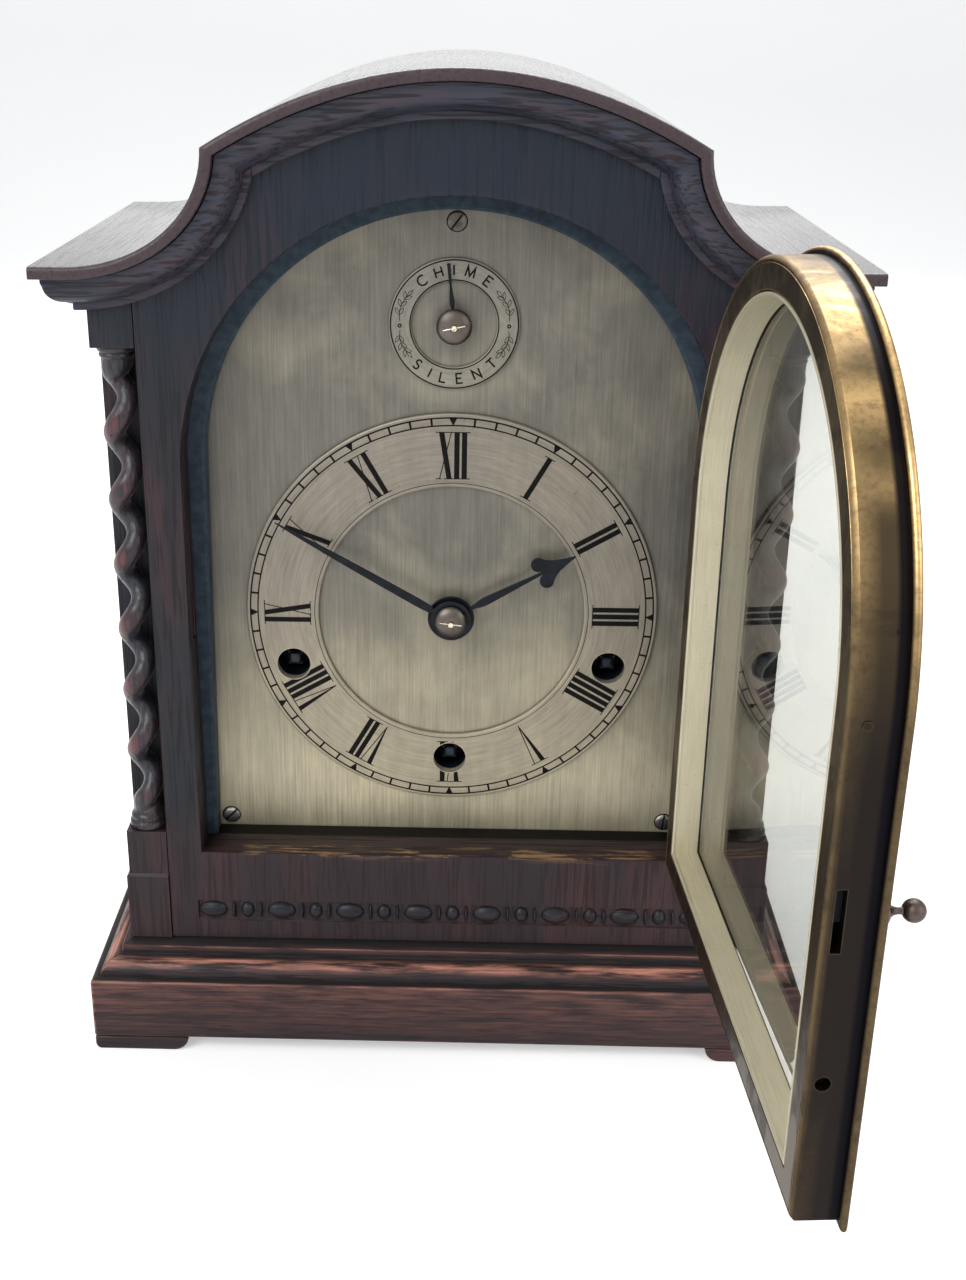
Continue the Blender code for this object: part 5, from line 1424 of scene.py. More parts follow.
@dataclass
class Plinth(Assembly):
    """The moulded plinth, mitred at its front corners, on bracket feet."""

    projection: float = 12.5
    foot_length: float = 30.7
    sections: int = 9

    def profile(self) -> tuple[Array, Marks]:
        """(projection, drop) from the inner top edge outward and down, with each point's wear and painted
        highlight and its painted shade.

        Returns:
            The points and their marks.
        """
        drop = self.layout.body_z - self.layout.foot_height
        points = np.vstack([
            [(-8.0, 0.0), (0.0, 0.0), (3.1, 1.25), (3.5, 1.45), (3.65, 1.8), (3.7, 3.9), (4.2, 4.25)],
            arc((4.4, 10.2), 5.8, -78, -18, 12),
            [(10.05, 8.9), (10.4, 9.1), (11.7, 9.3), (12.2, 9.5), (12.42, 9.8), (12.5, 10.3),
             (12.5, drop - 0.5), (12.3, drop - 0.1), (12.0, drop), (-8.0, drop)]])
        wear, shade = np.zeros((2, len(points)))
        # Painted highlights: thin pale lines on the small step's arris and on the face's top arris; on the
        # ovolo, wear and the light on its top.
        wear[2:5] = (0.1, 0.6, 0.2)
        wear[7:17] = (0.5, 0.9, 1.0, 1.0, 1.0, 0.9, 0.7, 0.4, 0.15, 0.05)
        wear[23:26] = (0.3, 0.6, 0.2)
        # Painted shade: dark in the gap under the front board, on the short face above the ovolo and in the
        # hollow below it.
        shade[:8] = (1.0, 1.0, 0.5, 0.0, 0.3, 0.85, 0.85, 0.3)
        shade[17:24] = (0.2, 0.45, 0.7, 0.85, 0.85, 0.6, 0.15)
        return points, {"wear": wear, "shade": shade}

    def foot(self, side: int) -> Array:
        """A foot from the front: rounded outer corner and a hollow inner end, as quarter circles.

        Args:
            side: -1 for the left, 1 for the right.

        Returns:
            (points, 2) outline.
        """
        outer = self.layout.case_half + self.projection
        inner = outer - self.foot_length
        top = self.layout.foot_height - self.layout.seat
        angle = np.linspace(0, np.pi / 2, 11)
        hollow = np.column_stack([inner + top * (1 - np.sin(angle)), top * (1 - np.cos(angle))])
        return np.vstack([[(outer, top)], arc((outer - 2.0, 2.0), 2.0, 0, -90, 10), hollow]) * [side, 1]

    def build(self) -> None:
        """Makes the mouldings and feet, and dresses the boards inside."""
        place = self.layout
        profile, marks = self.profile()
        out, drop = profile.T
        gap = place.seat / 2
        looks = {"slot": "oak_plinth", "marks": marks, "smooth": 22}
        share = np.linspace(0, 1, self.sections)[:, None]
        ends = grid((2 * share - 1) * (place.case_half + out - gap), place.front - out, place.body_z - drop)
        self.piece("plinth_moulding_front", loft(ends), "oak_plinth_level", replaces="plinth_front", **looks)
        for side, word in SIDES:
            start = place.front - out + gap
            run = grid(side * (place.case_half + out), start + share * (place.back - start),
                       place.body_z - drop)
            self.piece(f"plinth_moulding_{word}", loft(run), "oak_plinth_depth", replaces=f"plinth_{word}",
                       **looks)
        front, length = place.front - self.projection, self.foot_length
        stands = (("front", front, front + length), ("rear", place.back - length, place.back))
        for side, word in SIDES:
            for end, low, high in stands:
                self.piece(f"bracket_foot_{end}_{word}", slab(self.foot(side), low, high), "oak_plinth_level",
                           replaces=f"foot_{end}_{word}", slot="oak_plinth", bevel=0.5, smooth=35)
        self.dress("oak_plinth_level", 0.4, "plinth_rear")
        self.dress("oak_plain", 0.3, "base_board")


# Dial


@dataclass
class Engraving:
    """Collects flat outlines on the dial as thin waxed fillings, a little proud of its face."""

    face: float
    depth: float = 0.12
    parts: list[Shape] = field(default_factory=list)

    def outline(self, points: Sequence) -> None:
        """Adds a flat outline."""
        self.parts.append(slab(points, self.face - 0.02, self.face + self.depth))

    def band(self, centre: Floats, inner: float, outer: float, sides: int) -> None:
        """Adds a full ring between two radii: a square section carried round the centre."""
        front, back = self.face - 0.02, self.face + self.depth
        self.parts.append(hoop(centre, [(inner, front), (outer, front), (outer, back), (inner, back)], sides))

    def stroke(self, points: Array, width: float) -> None:
        """Adds a line of even width along points, moved half the width to each side."""
        steps = mitre_steps(points)
        self.outline(np.vstack([points + steps * width / 2, (points - steps * width / 2)[::-1]]))


def polar(centre: Floats, radius: float, angle: float, points: Sequence) -> Array:
    """Moves local (across, outward) points to a radius and clockwise angle round a centre.

    Args:
        centre: (x, z) of the centre.
        radius: distance from it to the local origin.
        angle: radians clockwise from twelve.
        points: (points, 2) local places.

    Returns:
        (points, 2) places on the dial.
    """
    sine, cosine = math.sin(angle), math.cos(angle)
    across, outward = np.asarray(points).T
    out = radius + outward
    x = centre[0] + out * sine + across * cosine
    return np.column_stack([x, centre[1] + out * cosine - across * sine])


@dataclass
class Numerals:
    """Roman numerals drawn as thick and thin strokes with hairline serifs."""

    inner: float = 43.8
    outer: float = 58.4
    thick: float = 1.6
    thin: float = 0.3
    gap: float = 0.64
    serif: float = 0.95
    wide: float = 4.0
    hairline: float = 0.28
    names: tuple[str, ...] = ("XII", "I", "II", "III", "IIII", "V", "VI", "VII", "VIII", "IX", "X", "XI")

    def draw(self, engraving: Engraving, centre: Floats) -> None:
        """Adds every numeral, radial, with its top outward.

        Args:
            engraving: where the outlines go.
            centre: (x, z) of the dial's centre.
        """
        for hour, name in enumerate(self.names):
            widths = [self.thick if letter == "I" else self.wide for letter in name]
            total = sum(widths) + self.gap * (len(name) - 1)
            lefts = [-total / 2 + sum(widths[:i]) + self.gap * i for i in range(len(name))]
            outlines = [bar for letter, left in zip(name, lefts) for bar in self.letter(letter, left)]
            outlines += self.serifs(name, lefts, total)
            for outline in outlines:
                engraving.outline(polar(centre, self.inner, hour * math.pi / 6, outline))

    def bar(self, low: float, high: float, thickness: float) -> Array:
        """A slanted bar from low (at the inner end) to high (at the outer end), both its left edge."""
        height = self.outer - self.inner
        return np.array([(low, 0.0), (low + thickness, 0.0), (high + thickness, height), (high, height)])

    def letter(self, letter: str, left: float) -> list[Array]:
        """The strokes of one letter, from its left edge.

        Args:
            letter: I, V or X.
            left: place of its left edge.

        Returns:
            Its strokes.
        """
        thick, thin, right = self.thick, self.thin, left + self.wide
        if letter == "I":
            return [self.bar(left, left, thick)]
        if letter == "X":
            return [self.bar(right - thick, left, thick), self.bar(left + 0.1, right - thin - 0.1, thin)]
        tip, height = left + self.wide / 2 + 0.1, self.outer - self.inner
        wedge = np.array([(tip - 0.12, 0.0), (tip + 0.12, 0.0), (left + thick, height), (left, height)])
        return [wedge, self.bar(tip - thin / 2, right - thin, thin)]

    def serifs(self, name: str, lefts: Floats, total: float) -> list[Array]:
        """Hairlines across the ends of the strokes: one outside, one inside for each foot.

        Args:
            name: the numeral.
            lefts: left edge of each letter.
            total: width of the numeral.

        Returns:
            The hairlines.
        """
        top, depth = self.outer - self.inner, self.hairline
        reach = total / 2 + self.serif
        runs = [(-reach, reach, top - depth, top)]
        for letter, left in zip(name, lefts):
            right = left + self.wide
            feet = {"I": [(left - self.serif, left + self.thick + self.serif)],
                    "X": [(left - 0.8, left + 0.9), (right - self.thick - 0.8, right + 0.8)]}
            runs += [(a, b, 0.0, depth) for a, b in feet.get(letter, [])]
        return [np.array([(a, low), (b, low), (b, high), (a, high)]) for a, b, low, high in runs]


LETTERS: dict[str, list] = {
    "C": [arc((0.5, 0.5), 0.5, 48, 312, 20)],
    "H": [[(0.0, 0.0), (0.0, 1.0)], [(0.72, 0.0), (0.72, 1.0)], [(0.0, 0.5), (0.72, 0.5)]],
    "I": [[(0.0, 0.0), (0.0, 1.0)]],
    "M": [[(0.0, 0.0), (0.06, 1.0), (0.44, 0.12), (0.82, 1.0), (0.88, 0.0)]],
    "E": [[(0.62, 0.0), (0.0, 0.0), (0.0, 1.0), (0.62, 1.0)], [(0.0, 0.52), (0.5, 0.52)]],
    "L": [[(0.0, 1.0), (0.0, 0.0), (0.62, 0.0)]],
    "N": [[(0.0, 0.0), (0.0, 1.0), (0.74, 0.0), (0.74, 1.0)]],
    "S": [np.vstack([arc((0.34, 0.75), 0.25, 35, 270, 12), arc((0.34, 0.25), 0.25, 90, -145, 12)[1:]])
          * [1.1, 1.0]],
    "T": [[(0.0, 1.0), (0.8, 1.0)], [(0.4, 1.0), (0.4, 0.0)]],
}


def letter_strokes(letter: str) -> list[Array]:
    """Lines of a plain capital, 1 high, centred across.

    Args:
        letter: the capital.

    Returns:
        Its lines.
    """
    lines = [np.array(line) for line in LETTERS[letter]]
    every = np.vstack(lines)[:, 0]
    return [line - [(every.min() + every.max()) / 2, 0.5] for line in lines]


@dataclass
class Dial(Assembly):
    """The silvered plate, its rings, engraving and screws, and the dark margin round it."""

    ring_outer: float = 64.0
    ring_inner: float = 41.3
    ring_thickness: float = 1.0
    plate_thickness: float = 1.6
    chime_outer: float = 19.2
    chime_inner: float = 12.4
    chime_proud: float = -0.2
    hole: float = 5.25
    margin_lean: float = 1.8
    hole_places: tuple[tuple[float, float], ...] = ((-49.6, -17.4), (49.6, -17.4), (0.0, -49.7))
    lines: tuple[tuple[float, float], ...] = ((62.44, 62.92), (60.15, 60.58), (42.5, 42.7))
    chime_lines: tuple[tuple[float, float], ...] = ((18.37, 18.78), (12.72, 13.1))

    @property
    def centre(self) -> tuple[float, float]:
        """(x, z) of the hands' centre."""
        return (0.0, self.layout.dial_z)

    @property
    def chime_centre(self) -> tuple[float, float]:
        """(x, z) of the chime ring's centre."""
        return (0.0, self.layout.dial_z + self.layout.chime_rise)

    @property
    def plate_front(self) -> float:
        """Depth of the plate's face."""
        return self.layout.dial_y + self.ring_thickness + self.layout.seat

    def ring(self, name: str, centre: Floats, inner: float, outer: float, front: float,
             finish: str, node: str, cutters: Sequence[Shape] = ()) -> None:
        """Makes a flat ring with eased edges: a section (radius, depth) carried round its centre.

        Args:
            name: name of the piece.
            centre: (x, z) of its centre.
            inner: radius of its hole.
            outer: radius of its rim.
            front: depth of its face.
            finish: name of its finish.
            node: CAD node that it stands for.
            cutters: shapes cut out of it.
        """
        back = self.layout.dial_y + self.ring_thickness
        ease, chamfer = 0.45, 0.15
        section = [(inner, back), (inner, front + ease), (inner + chamfer, front + chamfer),
                   (inner + ease, front), (outer - ease, front), (outer - chamfer, front + chamfer),
                   (outer, front + ease), (outer, back)]
        self.piece(name, hoop(centre, section, 192), finish, replaces=node, slot="silvered",
                   cutters=cutters, smooth=25)

    def drill(self, place: Floats, radius: float) -> Shape:
        """A round cutter through the dial.

        Args:
            place: (x, z) from the dial's centre.
            radius: radius of the hole.

        Returns:
            The points and the arrays of faces.
        """
        y = self.layout.dial_y
        centre = (place[0], 0.0, self.layout.dial_z + place[1])
        return turned([(y - 5, radius), (y + 8, radius)], centre, ALONG_Y, 48)

    def build(self) -> None:
        """Makes the dial."""
        y = self.layout.dial_y
        self.build_plate()
        self.build_margin()
        holes = [self.drill(spot, self.hole) for spot in self.hole_places]
        self.ring("hour_ring", self.centre, self.ring_inner, self.ring_outer, y, "silvered_ring",
                  "chapter_ring", holes)
        self.ring("chime_band", self.chime_centre, self.chime_inner, self.chime_outer, y - self.chime_proud,
                  "silvered_chime", "chime_ring")
        self.build_marks()
        self.build_chime_marks()
        self.build_screws()

    def build_plate(self) -> None:
        """Makes the plate with its holes."""
        place = self.layout
        outline = arched(place.opening_half - place.margin + 5, place.sill_z - place.sill_show - 5,
                         place.spring_z)
        cutters = [self.drill(spot, self.hole) for spot in self.hole_places]
        cutters += [self.drill((0.0, 0.0), 3.6), self.drill((0.0, place.chime_rise), 1.6)]
        front = self.plate_front
        self.piece("silvered_dial_plate", slab(outline, front, front + self.plate_thickness),
                   "silvered_plate", replaces="dial_plate", slot="silvered", cutters=cutters, smooth=25)

    def build_margin(self) -> None:
        """Makes the dark board round the plate, from its sight edge out behind the front board."""
        place = self.layout
        bottom, spring = place.sill_z - place.sill_show, place.spring_z
        front = place.front + place.front_thickness + place.seat
        back = self.plate_front - place.seat
        outer = arched(place.board_half, place.sill_z - 8, spring)
        inner = arched(place.opening_half - place.margin, bottom, spring)
        down = np.clip((spring - inner[:, 1]) / (spring - bottom), 0, 1)
        inner[:, 0] -= self.margin_lean * down * (inner[:, 0] < 0)
        foot = np.array([0.0, 1.2])
        outer, inner = (np.vstack([line[:2], line[1] + foot, line[2:], line[0] + foot])
                        for line in (outer, inner))
        share, depth = np.array([(1.0, back), (1.0, front), (0.05, front), (0.0, front + 0.5),
                                 (0.0, back)]).T
        shade = np.zeros((len(outer), len(share)))
        shade[:2] = 1.0
        self.piece("dial_margin", loft(between(inner, outer, share, depth), closed=True), "margin_black",
                   replaces="dial_surround", slot="margin_black", marks={"shade": shade})

    def build_marks(self) -> None:
        """Makes the minute track, its marks and the numerals."""
        wax = Engraving(self.layout.dial_y)
        for (inner, outer), sides in zip(self.lines, (240, 240, 200)):
            wax.band(self.centre, inner, outer, sides)
        for minute in range(60):
            mark = [(-0.32, 60.3), (0.32, 60.3), (0.32, 62.7), (-0.32, 62.7)]
            if minute % 5 == 0:
                mark = [(-0.12, 60.4), (0.12, 60.4), (1.2, 62.65), (-1.2, 62.65)]
            wax.outline(polar(self.centre, 0.0, minute * math.pi / 30, mark))
        self.piece("minute_track", joined(wax.parts), "black_wax")
        figures = Engraving(self.layout.dial_y)
        Numerals().draw(figures, self.centre)
        cutters = [self.drill(spot, self.hole + 0.25) for spot in self.hole_places]
        self.piece("hour_numerals", joined(figures.parts), "black_wax", cutters=cutters)

    def build_chime_marks(self) -> None:
        """Makes the words, lines and leaf sprays of the chime ring."""
        wax = Engraving(self.layout.dial_y - self.chime_proud, 0.1)
        centre = self.chime_centre
        for (inner, outer), sides in zip(self.chime_lines, (120, 100)):
            wax.band(centre, inner, outer, sides)
        size, width, radius = 2.85, 0.5, 15.75
        top = zip("CHIME", (-37.0, -17.4, -1.0, 16.5, 37.5))
        bottom = zip("SILENT", (-137.5, -153.5, -168.5, 174.0, 155.0, 135.5))
        for letter, degrees in (*top, *bottom):
            scale = -size if abs(degrees) > 90 else size
            for line in letter_strokes(letter):
                wax.stroke(polar(centre, radius, math.radians(degrees), line * scale), width)
        for side, _ in SIDES:
            self.spray(wax, np.array(centre), side)
        self.piece("chime_words", joined(wax.parts), "black_wax")

    def spray(self, wax: Engraving, centre: Array, side: int) -> None:
        """Adds two leaf sprays, one pointing up and one down, from a small flower between them.

        Args:
            wax: where the outlines go.
            centre: (x, z) of the chime ring's centre.
            side: -1 for the left, 1 for the right.
        """
        radius, count = 15.9, 14
        wax.band((centre[0] + side * radius, centre[1] - 0.3), 0.25, 0.62, 16)
        for low, high in ((-96.0, -120.0), (-86.0, -59.0)):
            angle = np.radians(np.linspace(low, high, count))
            bend = radius + 0.5 * np.sin(np.linspace(0, np.pi, count))
            stem = np.column_stack([side * bend * np.abs(np.sin(angle)), bend * np.cos(angle)])
            wax.stroke(stem + centre, 0.2)
            for index, lean in ((3, -1), (3, 1), (7, -1), (7, 1), (11, -1), (11, 1), (count - 1, 0)):
                self.leaf(wax, stem[index] + centre, stem[index] - stem[index - 1], lean)

    def leaf(self, wax: Engraving, root: Array, along: Array, lean: int) -> None:
        """Adds one leaf from its root on a stem, leaning to a side, as two bowed lines.

        Args:
            wax: where the outlines go.
            root: (x, z) of its root.
            along: direction of the stem there.
            lean: -1 or 1 to a side, 0 straight on.
        """
        turn = math.radians(32.0) * lean
        rotate = np.array([[math.cos(turn), -math.sin(turn)], [math.sin(turn), math.cos(turn)]])
        way = rotate @ (along / np.linalg.norm(along))
        across = np.array([-way[1], way[0]])
        t = np.linspace(0, 1, 9)[:, None]
        length, width = 2.3, 0.42
        for bow in (1, -1):
            wax.stroke(root + way * length * t + bow * across * width * np.sin(np.pi * t), 0.18)

    def build_screws(self) -> None:
        """Makes the three slotted screws that hold the dial, each in a thin black ring of painted shadow,
        with painted shade in its slot.
        """
        front, slot_half = self.plate_front, 0.42
        head = [(0.0, 2.75), (0.35, 2.75), (0.5, 2.66), (0.58, 2.45), (0.6, 1.2), (0.6, 0.05)]
        ring = [(0.0, 3.05), (0.12, 3.0), (0.12, 2.5), (0.0, 2.5)]
        spots = ((0.5, 119.4, 52.0, "top", "grey_steel"), (-71.9, -72.5, 46.0, "left", "screw_steel"),
                 (70.4, -72.5, 84.0, "right", "screw_steel"))
        for x, z, degrees, word, finish in spots:
            centre = np.array([x, front, self.layout.dial_z + z])
            corners = [(-4.0, -slot_half), (4.0, -slot_half), (4.0, slot_half), (-4.0, slot_half)]
            slot = polar((0.0, 0.0), 0.0, -math.radians(degrees), corners)
            middle = centre[[0, 2]]
            self.piece(f"dial_screw_{word}", turned(head, centre, FORWARD, 48), finish,
                       cutters=[slab(slot + middle, front - 2.0, front - 0.1)])
            # Painted shadow: a black ring round each head and a black strip in its slot.
            shadow = [turned(ring, centre, FORWARD, 48, closed=True),
                      slab(slot * 0.6 + middle, front - 0.16, front - 0.05)]
            self.piece(f"screw_shadow_{word}", joined(shadow), "black_wax")


# Hands


@dataclass
class Hands(Assembly):
    """Blued hands with bevelled edges, domed collets and taper pins."""

    minute_angle: float = -59.9
    hour_angle: float = 61.2
    chime_angle: float = -5.7

    def outline(self, boss: float, right: Array) -> Array:
        """A hand pointing up: its right edge (half width, distance), mirrored, and a round boss.

        Args:
            boss: radius of the boss.
            right: (half width, distance) points from the boss to the tip.

        Returns:
            (points, 2) outline.
        """
        start = math.degrees(math.asin(right[0, 0] / boss))
        circle = arc((0.0, 0.0), boss, 90 - start, -270 + start, 48)
        return np.vstack([circle, right[1:] * [-1, 1], right[:0:-1]])

    def hour_edge(self) -> Array:
        """Right edge of the spade hour hand: a tapering stem, a round lobe and a hollow tip.

        Returns:
            (half width, distance) points.
        """
        stem = [(0.6, 7.1), (0.7, 8.6), (1.1, 9.9), (1.3, 11.2), (1.32, 13.0), (0.95, 21.3), (0.45, 30.8),
                (0.4, 31.9)]
        tip = [(3.2, 34.5), (2.4, 35.8), (1.75, 37.2), (1.2, 38.9), (0.75, 40.6), (0.4, 42.2), (0.1, 43.2)]
        return np.vstack([stem, arc((2.95, 31.75), 2.2, -165, 62, 22), tip])

    def hand(self, name: str, node: str, body: str, boss: float, edge: Sequence, back: float,
             thickness: float, bore: float, centre_z: float, degrees: float) -> None:
        """Makes one hand, drawn pointing up and turned to where it stands.

        Args:
            name: name of the piece.
            node: CAD node that it stands for.
            body: body that it turns with.
            boss: radius of its boss.
            edge: (half width, distance) points of its right edge.
            back: depth of its rear face.
            thickness: its thickness.
            bore: radius of its hole.
            centre_z: height of its arbor.
            degrees: where it points, clockwise from twelve.
        """
        outline = self.outline(boss, np.array(edge)) + [0.0, centre_z]
        pivot = (0.0, 0.0, centre_z)
        drill = turned([(back - 5, bore), (back + 5, bore)], pivot, ALONG_Y, 40)
        self.piece(name, slab(outline, back - thickness, back), "blued_steel", body=body, replaces=node,
                   slot="blued_steel", cutters=[drill], bevel=0.16, bevel_steps=1,
                   turn=turning(pivot, Axis.Y, math.radians(degrees)))

    def collet(self, name: str, node: str, body: str, radius: float, base_y: float, centre_z: float,
               stem: float = 0.0) -> None:
        """Makes a domed washer with a slightly dished face round the arbor's end.

        Args:
            name: name of the piece.
            node: CAD node that it stands for.
            body: body that it turns with.
            radius: radius of its rim.
            base_y: depth of its foot.
            centre_z: height of its arbor.
            stem: length of the stem behind it, if any.
        """
        dome = np.array([(0.0, 0.97), (0.08, 1.0), (0.24, 1.0), (0.40, 0.95), (0.60, 0.84), (0.78, 0.68),
                         (0.90, 0.5), (0.97, 0.36), (1.0, 0.26), (0.96, 0.2)]) * [2.45, radius]
        rear = [(-stem, 1.2), (0.0, 1.2)] if stem else np.empty((0, 2))
        shape = turned(np.vstack([rear, dome]), (0.0, base_y, centre_z), FORWARD)
        self.piece(name, shape, "collet_bronze", body=body, replaces=node, slot="brass")

    def pin(self, name: str, body: str, y: float, centre_z: float, length: float, degrees: float) -> None:
        """Makes a taper pin lying across the arbor's end, with the end itself as a short round stud.

        Args:
            name: name of the piece.
            body: body that it turns with.
            y: depth of its middle.
            centre_z: height of its arbor.
            length: its length.
            degrees: its slope, anticlockwise from level.
        """
        way = np.array([math.cos(math.radians(degrees)), 0.0, math.sin(math.radians(degrees))])
        centre = np.array([0.0, y, centre_z])
        taper = np.array([(0.0, 0.14), (0.06, 0.2), (0.94, 0.3), (1.0, 0.2)]) * [length, 1]
        stud = [(0.0, 0.9), (1.15, 0.9), (1.3, 0.8), (1.34, 0.6), (1.1, 0.5), (1.05, 0.05)]
        parts = [turned(taper, centre - way * length / 2, way, 16),
                 turned(stud, centre + (0.0, 0.6, 0.0), FORWARD, 28)]
        self.piece(name, joined(parts), "bright_pin", body=body, smooth=40)

    def build(self) -> None:
        """Makes the hands and dresses the wheels behind them."""
        y, z = self.layout.dial_y, self.layout.dial_z
        chime_z = z + self.layout.chime_rise
        minute_edge = [(0.7, 6.2), (1.05, 7.2), (1.2, 9.0), (1.3, 12.0), (1.28, 15.0), (1.15, 28.0),
                       (0.9, 42.0), (0.5, 54.0), (0.1, 62.0)]
        baton_edge = [(0.3, 2.98), (0.36, 5.0), (0.72, 6.4), (0.76, 7.1), (0.36, 10.8), (0.28, 11.9),
                      (0.42, 13.2), (0.5, 18.0)]
        self.hand("spade_hour_hand", "hour_hand", "hour_pipe", boss=7.2, edge=self.hour_edge(),
                  back=y - 2.6, thickness=0.8, bore=3.1, centre_z=z, degrees=self.hour_angle)
        self.hand("slim_minute_hand", "minute_hand", "minute_arbor", boss=6.4, edge=minute_edge,
                  back=y - 4.8, thickness=0.8, bore=1.9, centre_z=z, degrees=self.minute_angle)
        self.collet("hand_washer", "hand_collet", "minute_arbor", radius=5.0, base_y=y - 5.9, centre_z=z)
        self.pin("hand_pin", "minute_arbor", y=y - 8.3, centre_z=z, length=6.8, degrees=-6.0)
        self.hand("chime_hand", "chime_pointer", "pointer", boss=3.0, edge=baton_edge,
                  back=y - 1.6, thickness=0.6, bore=1.5, centre_z=chime_z, degrees=self.chime_angle)
        self.collet("pointer_washer", "pointer_collet", "pointer", radius=5.2, base_y=y - 2.5,
                    centre_z=chime_z, stem=13.8)
        self.pin("pointer_pin", "pointer", y=y - 4.9, centre_z=chime_z, length=6.6, degrees=12.0)
        self.dress("movement_brass", 0.0, "cannon_wheel", "hour_wheel", "minute_wheel")


# Bezel


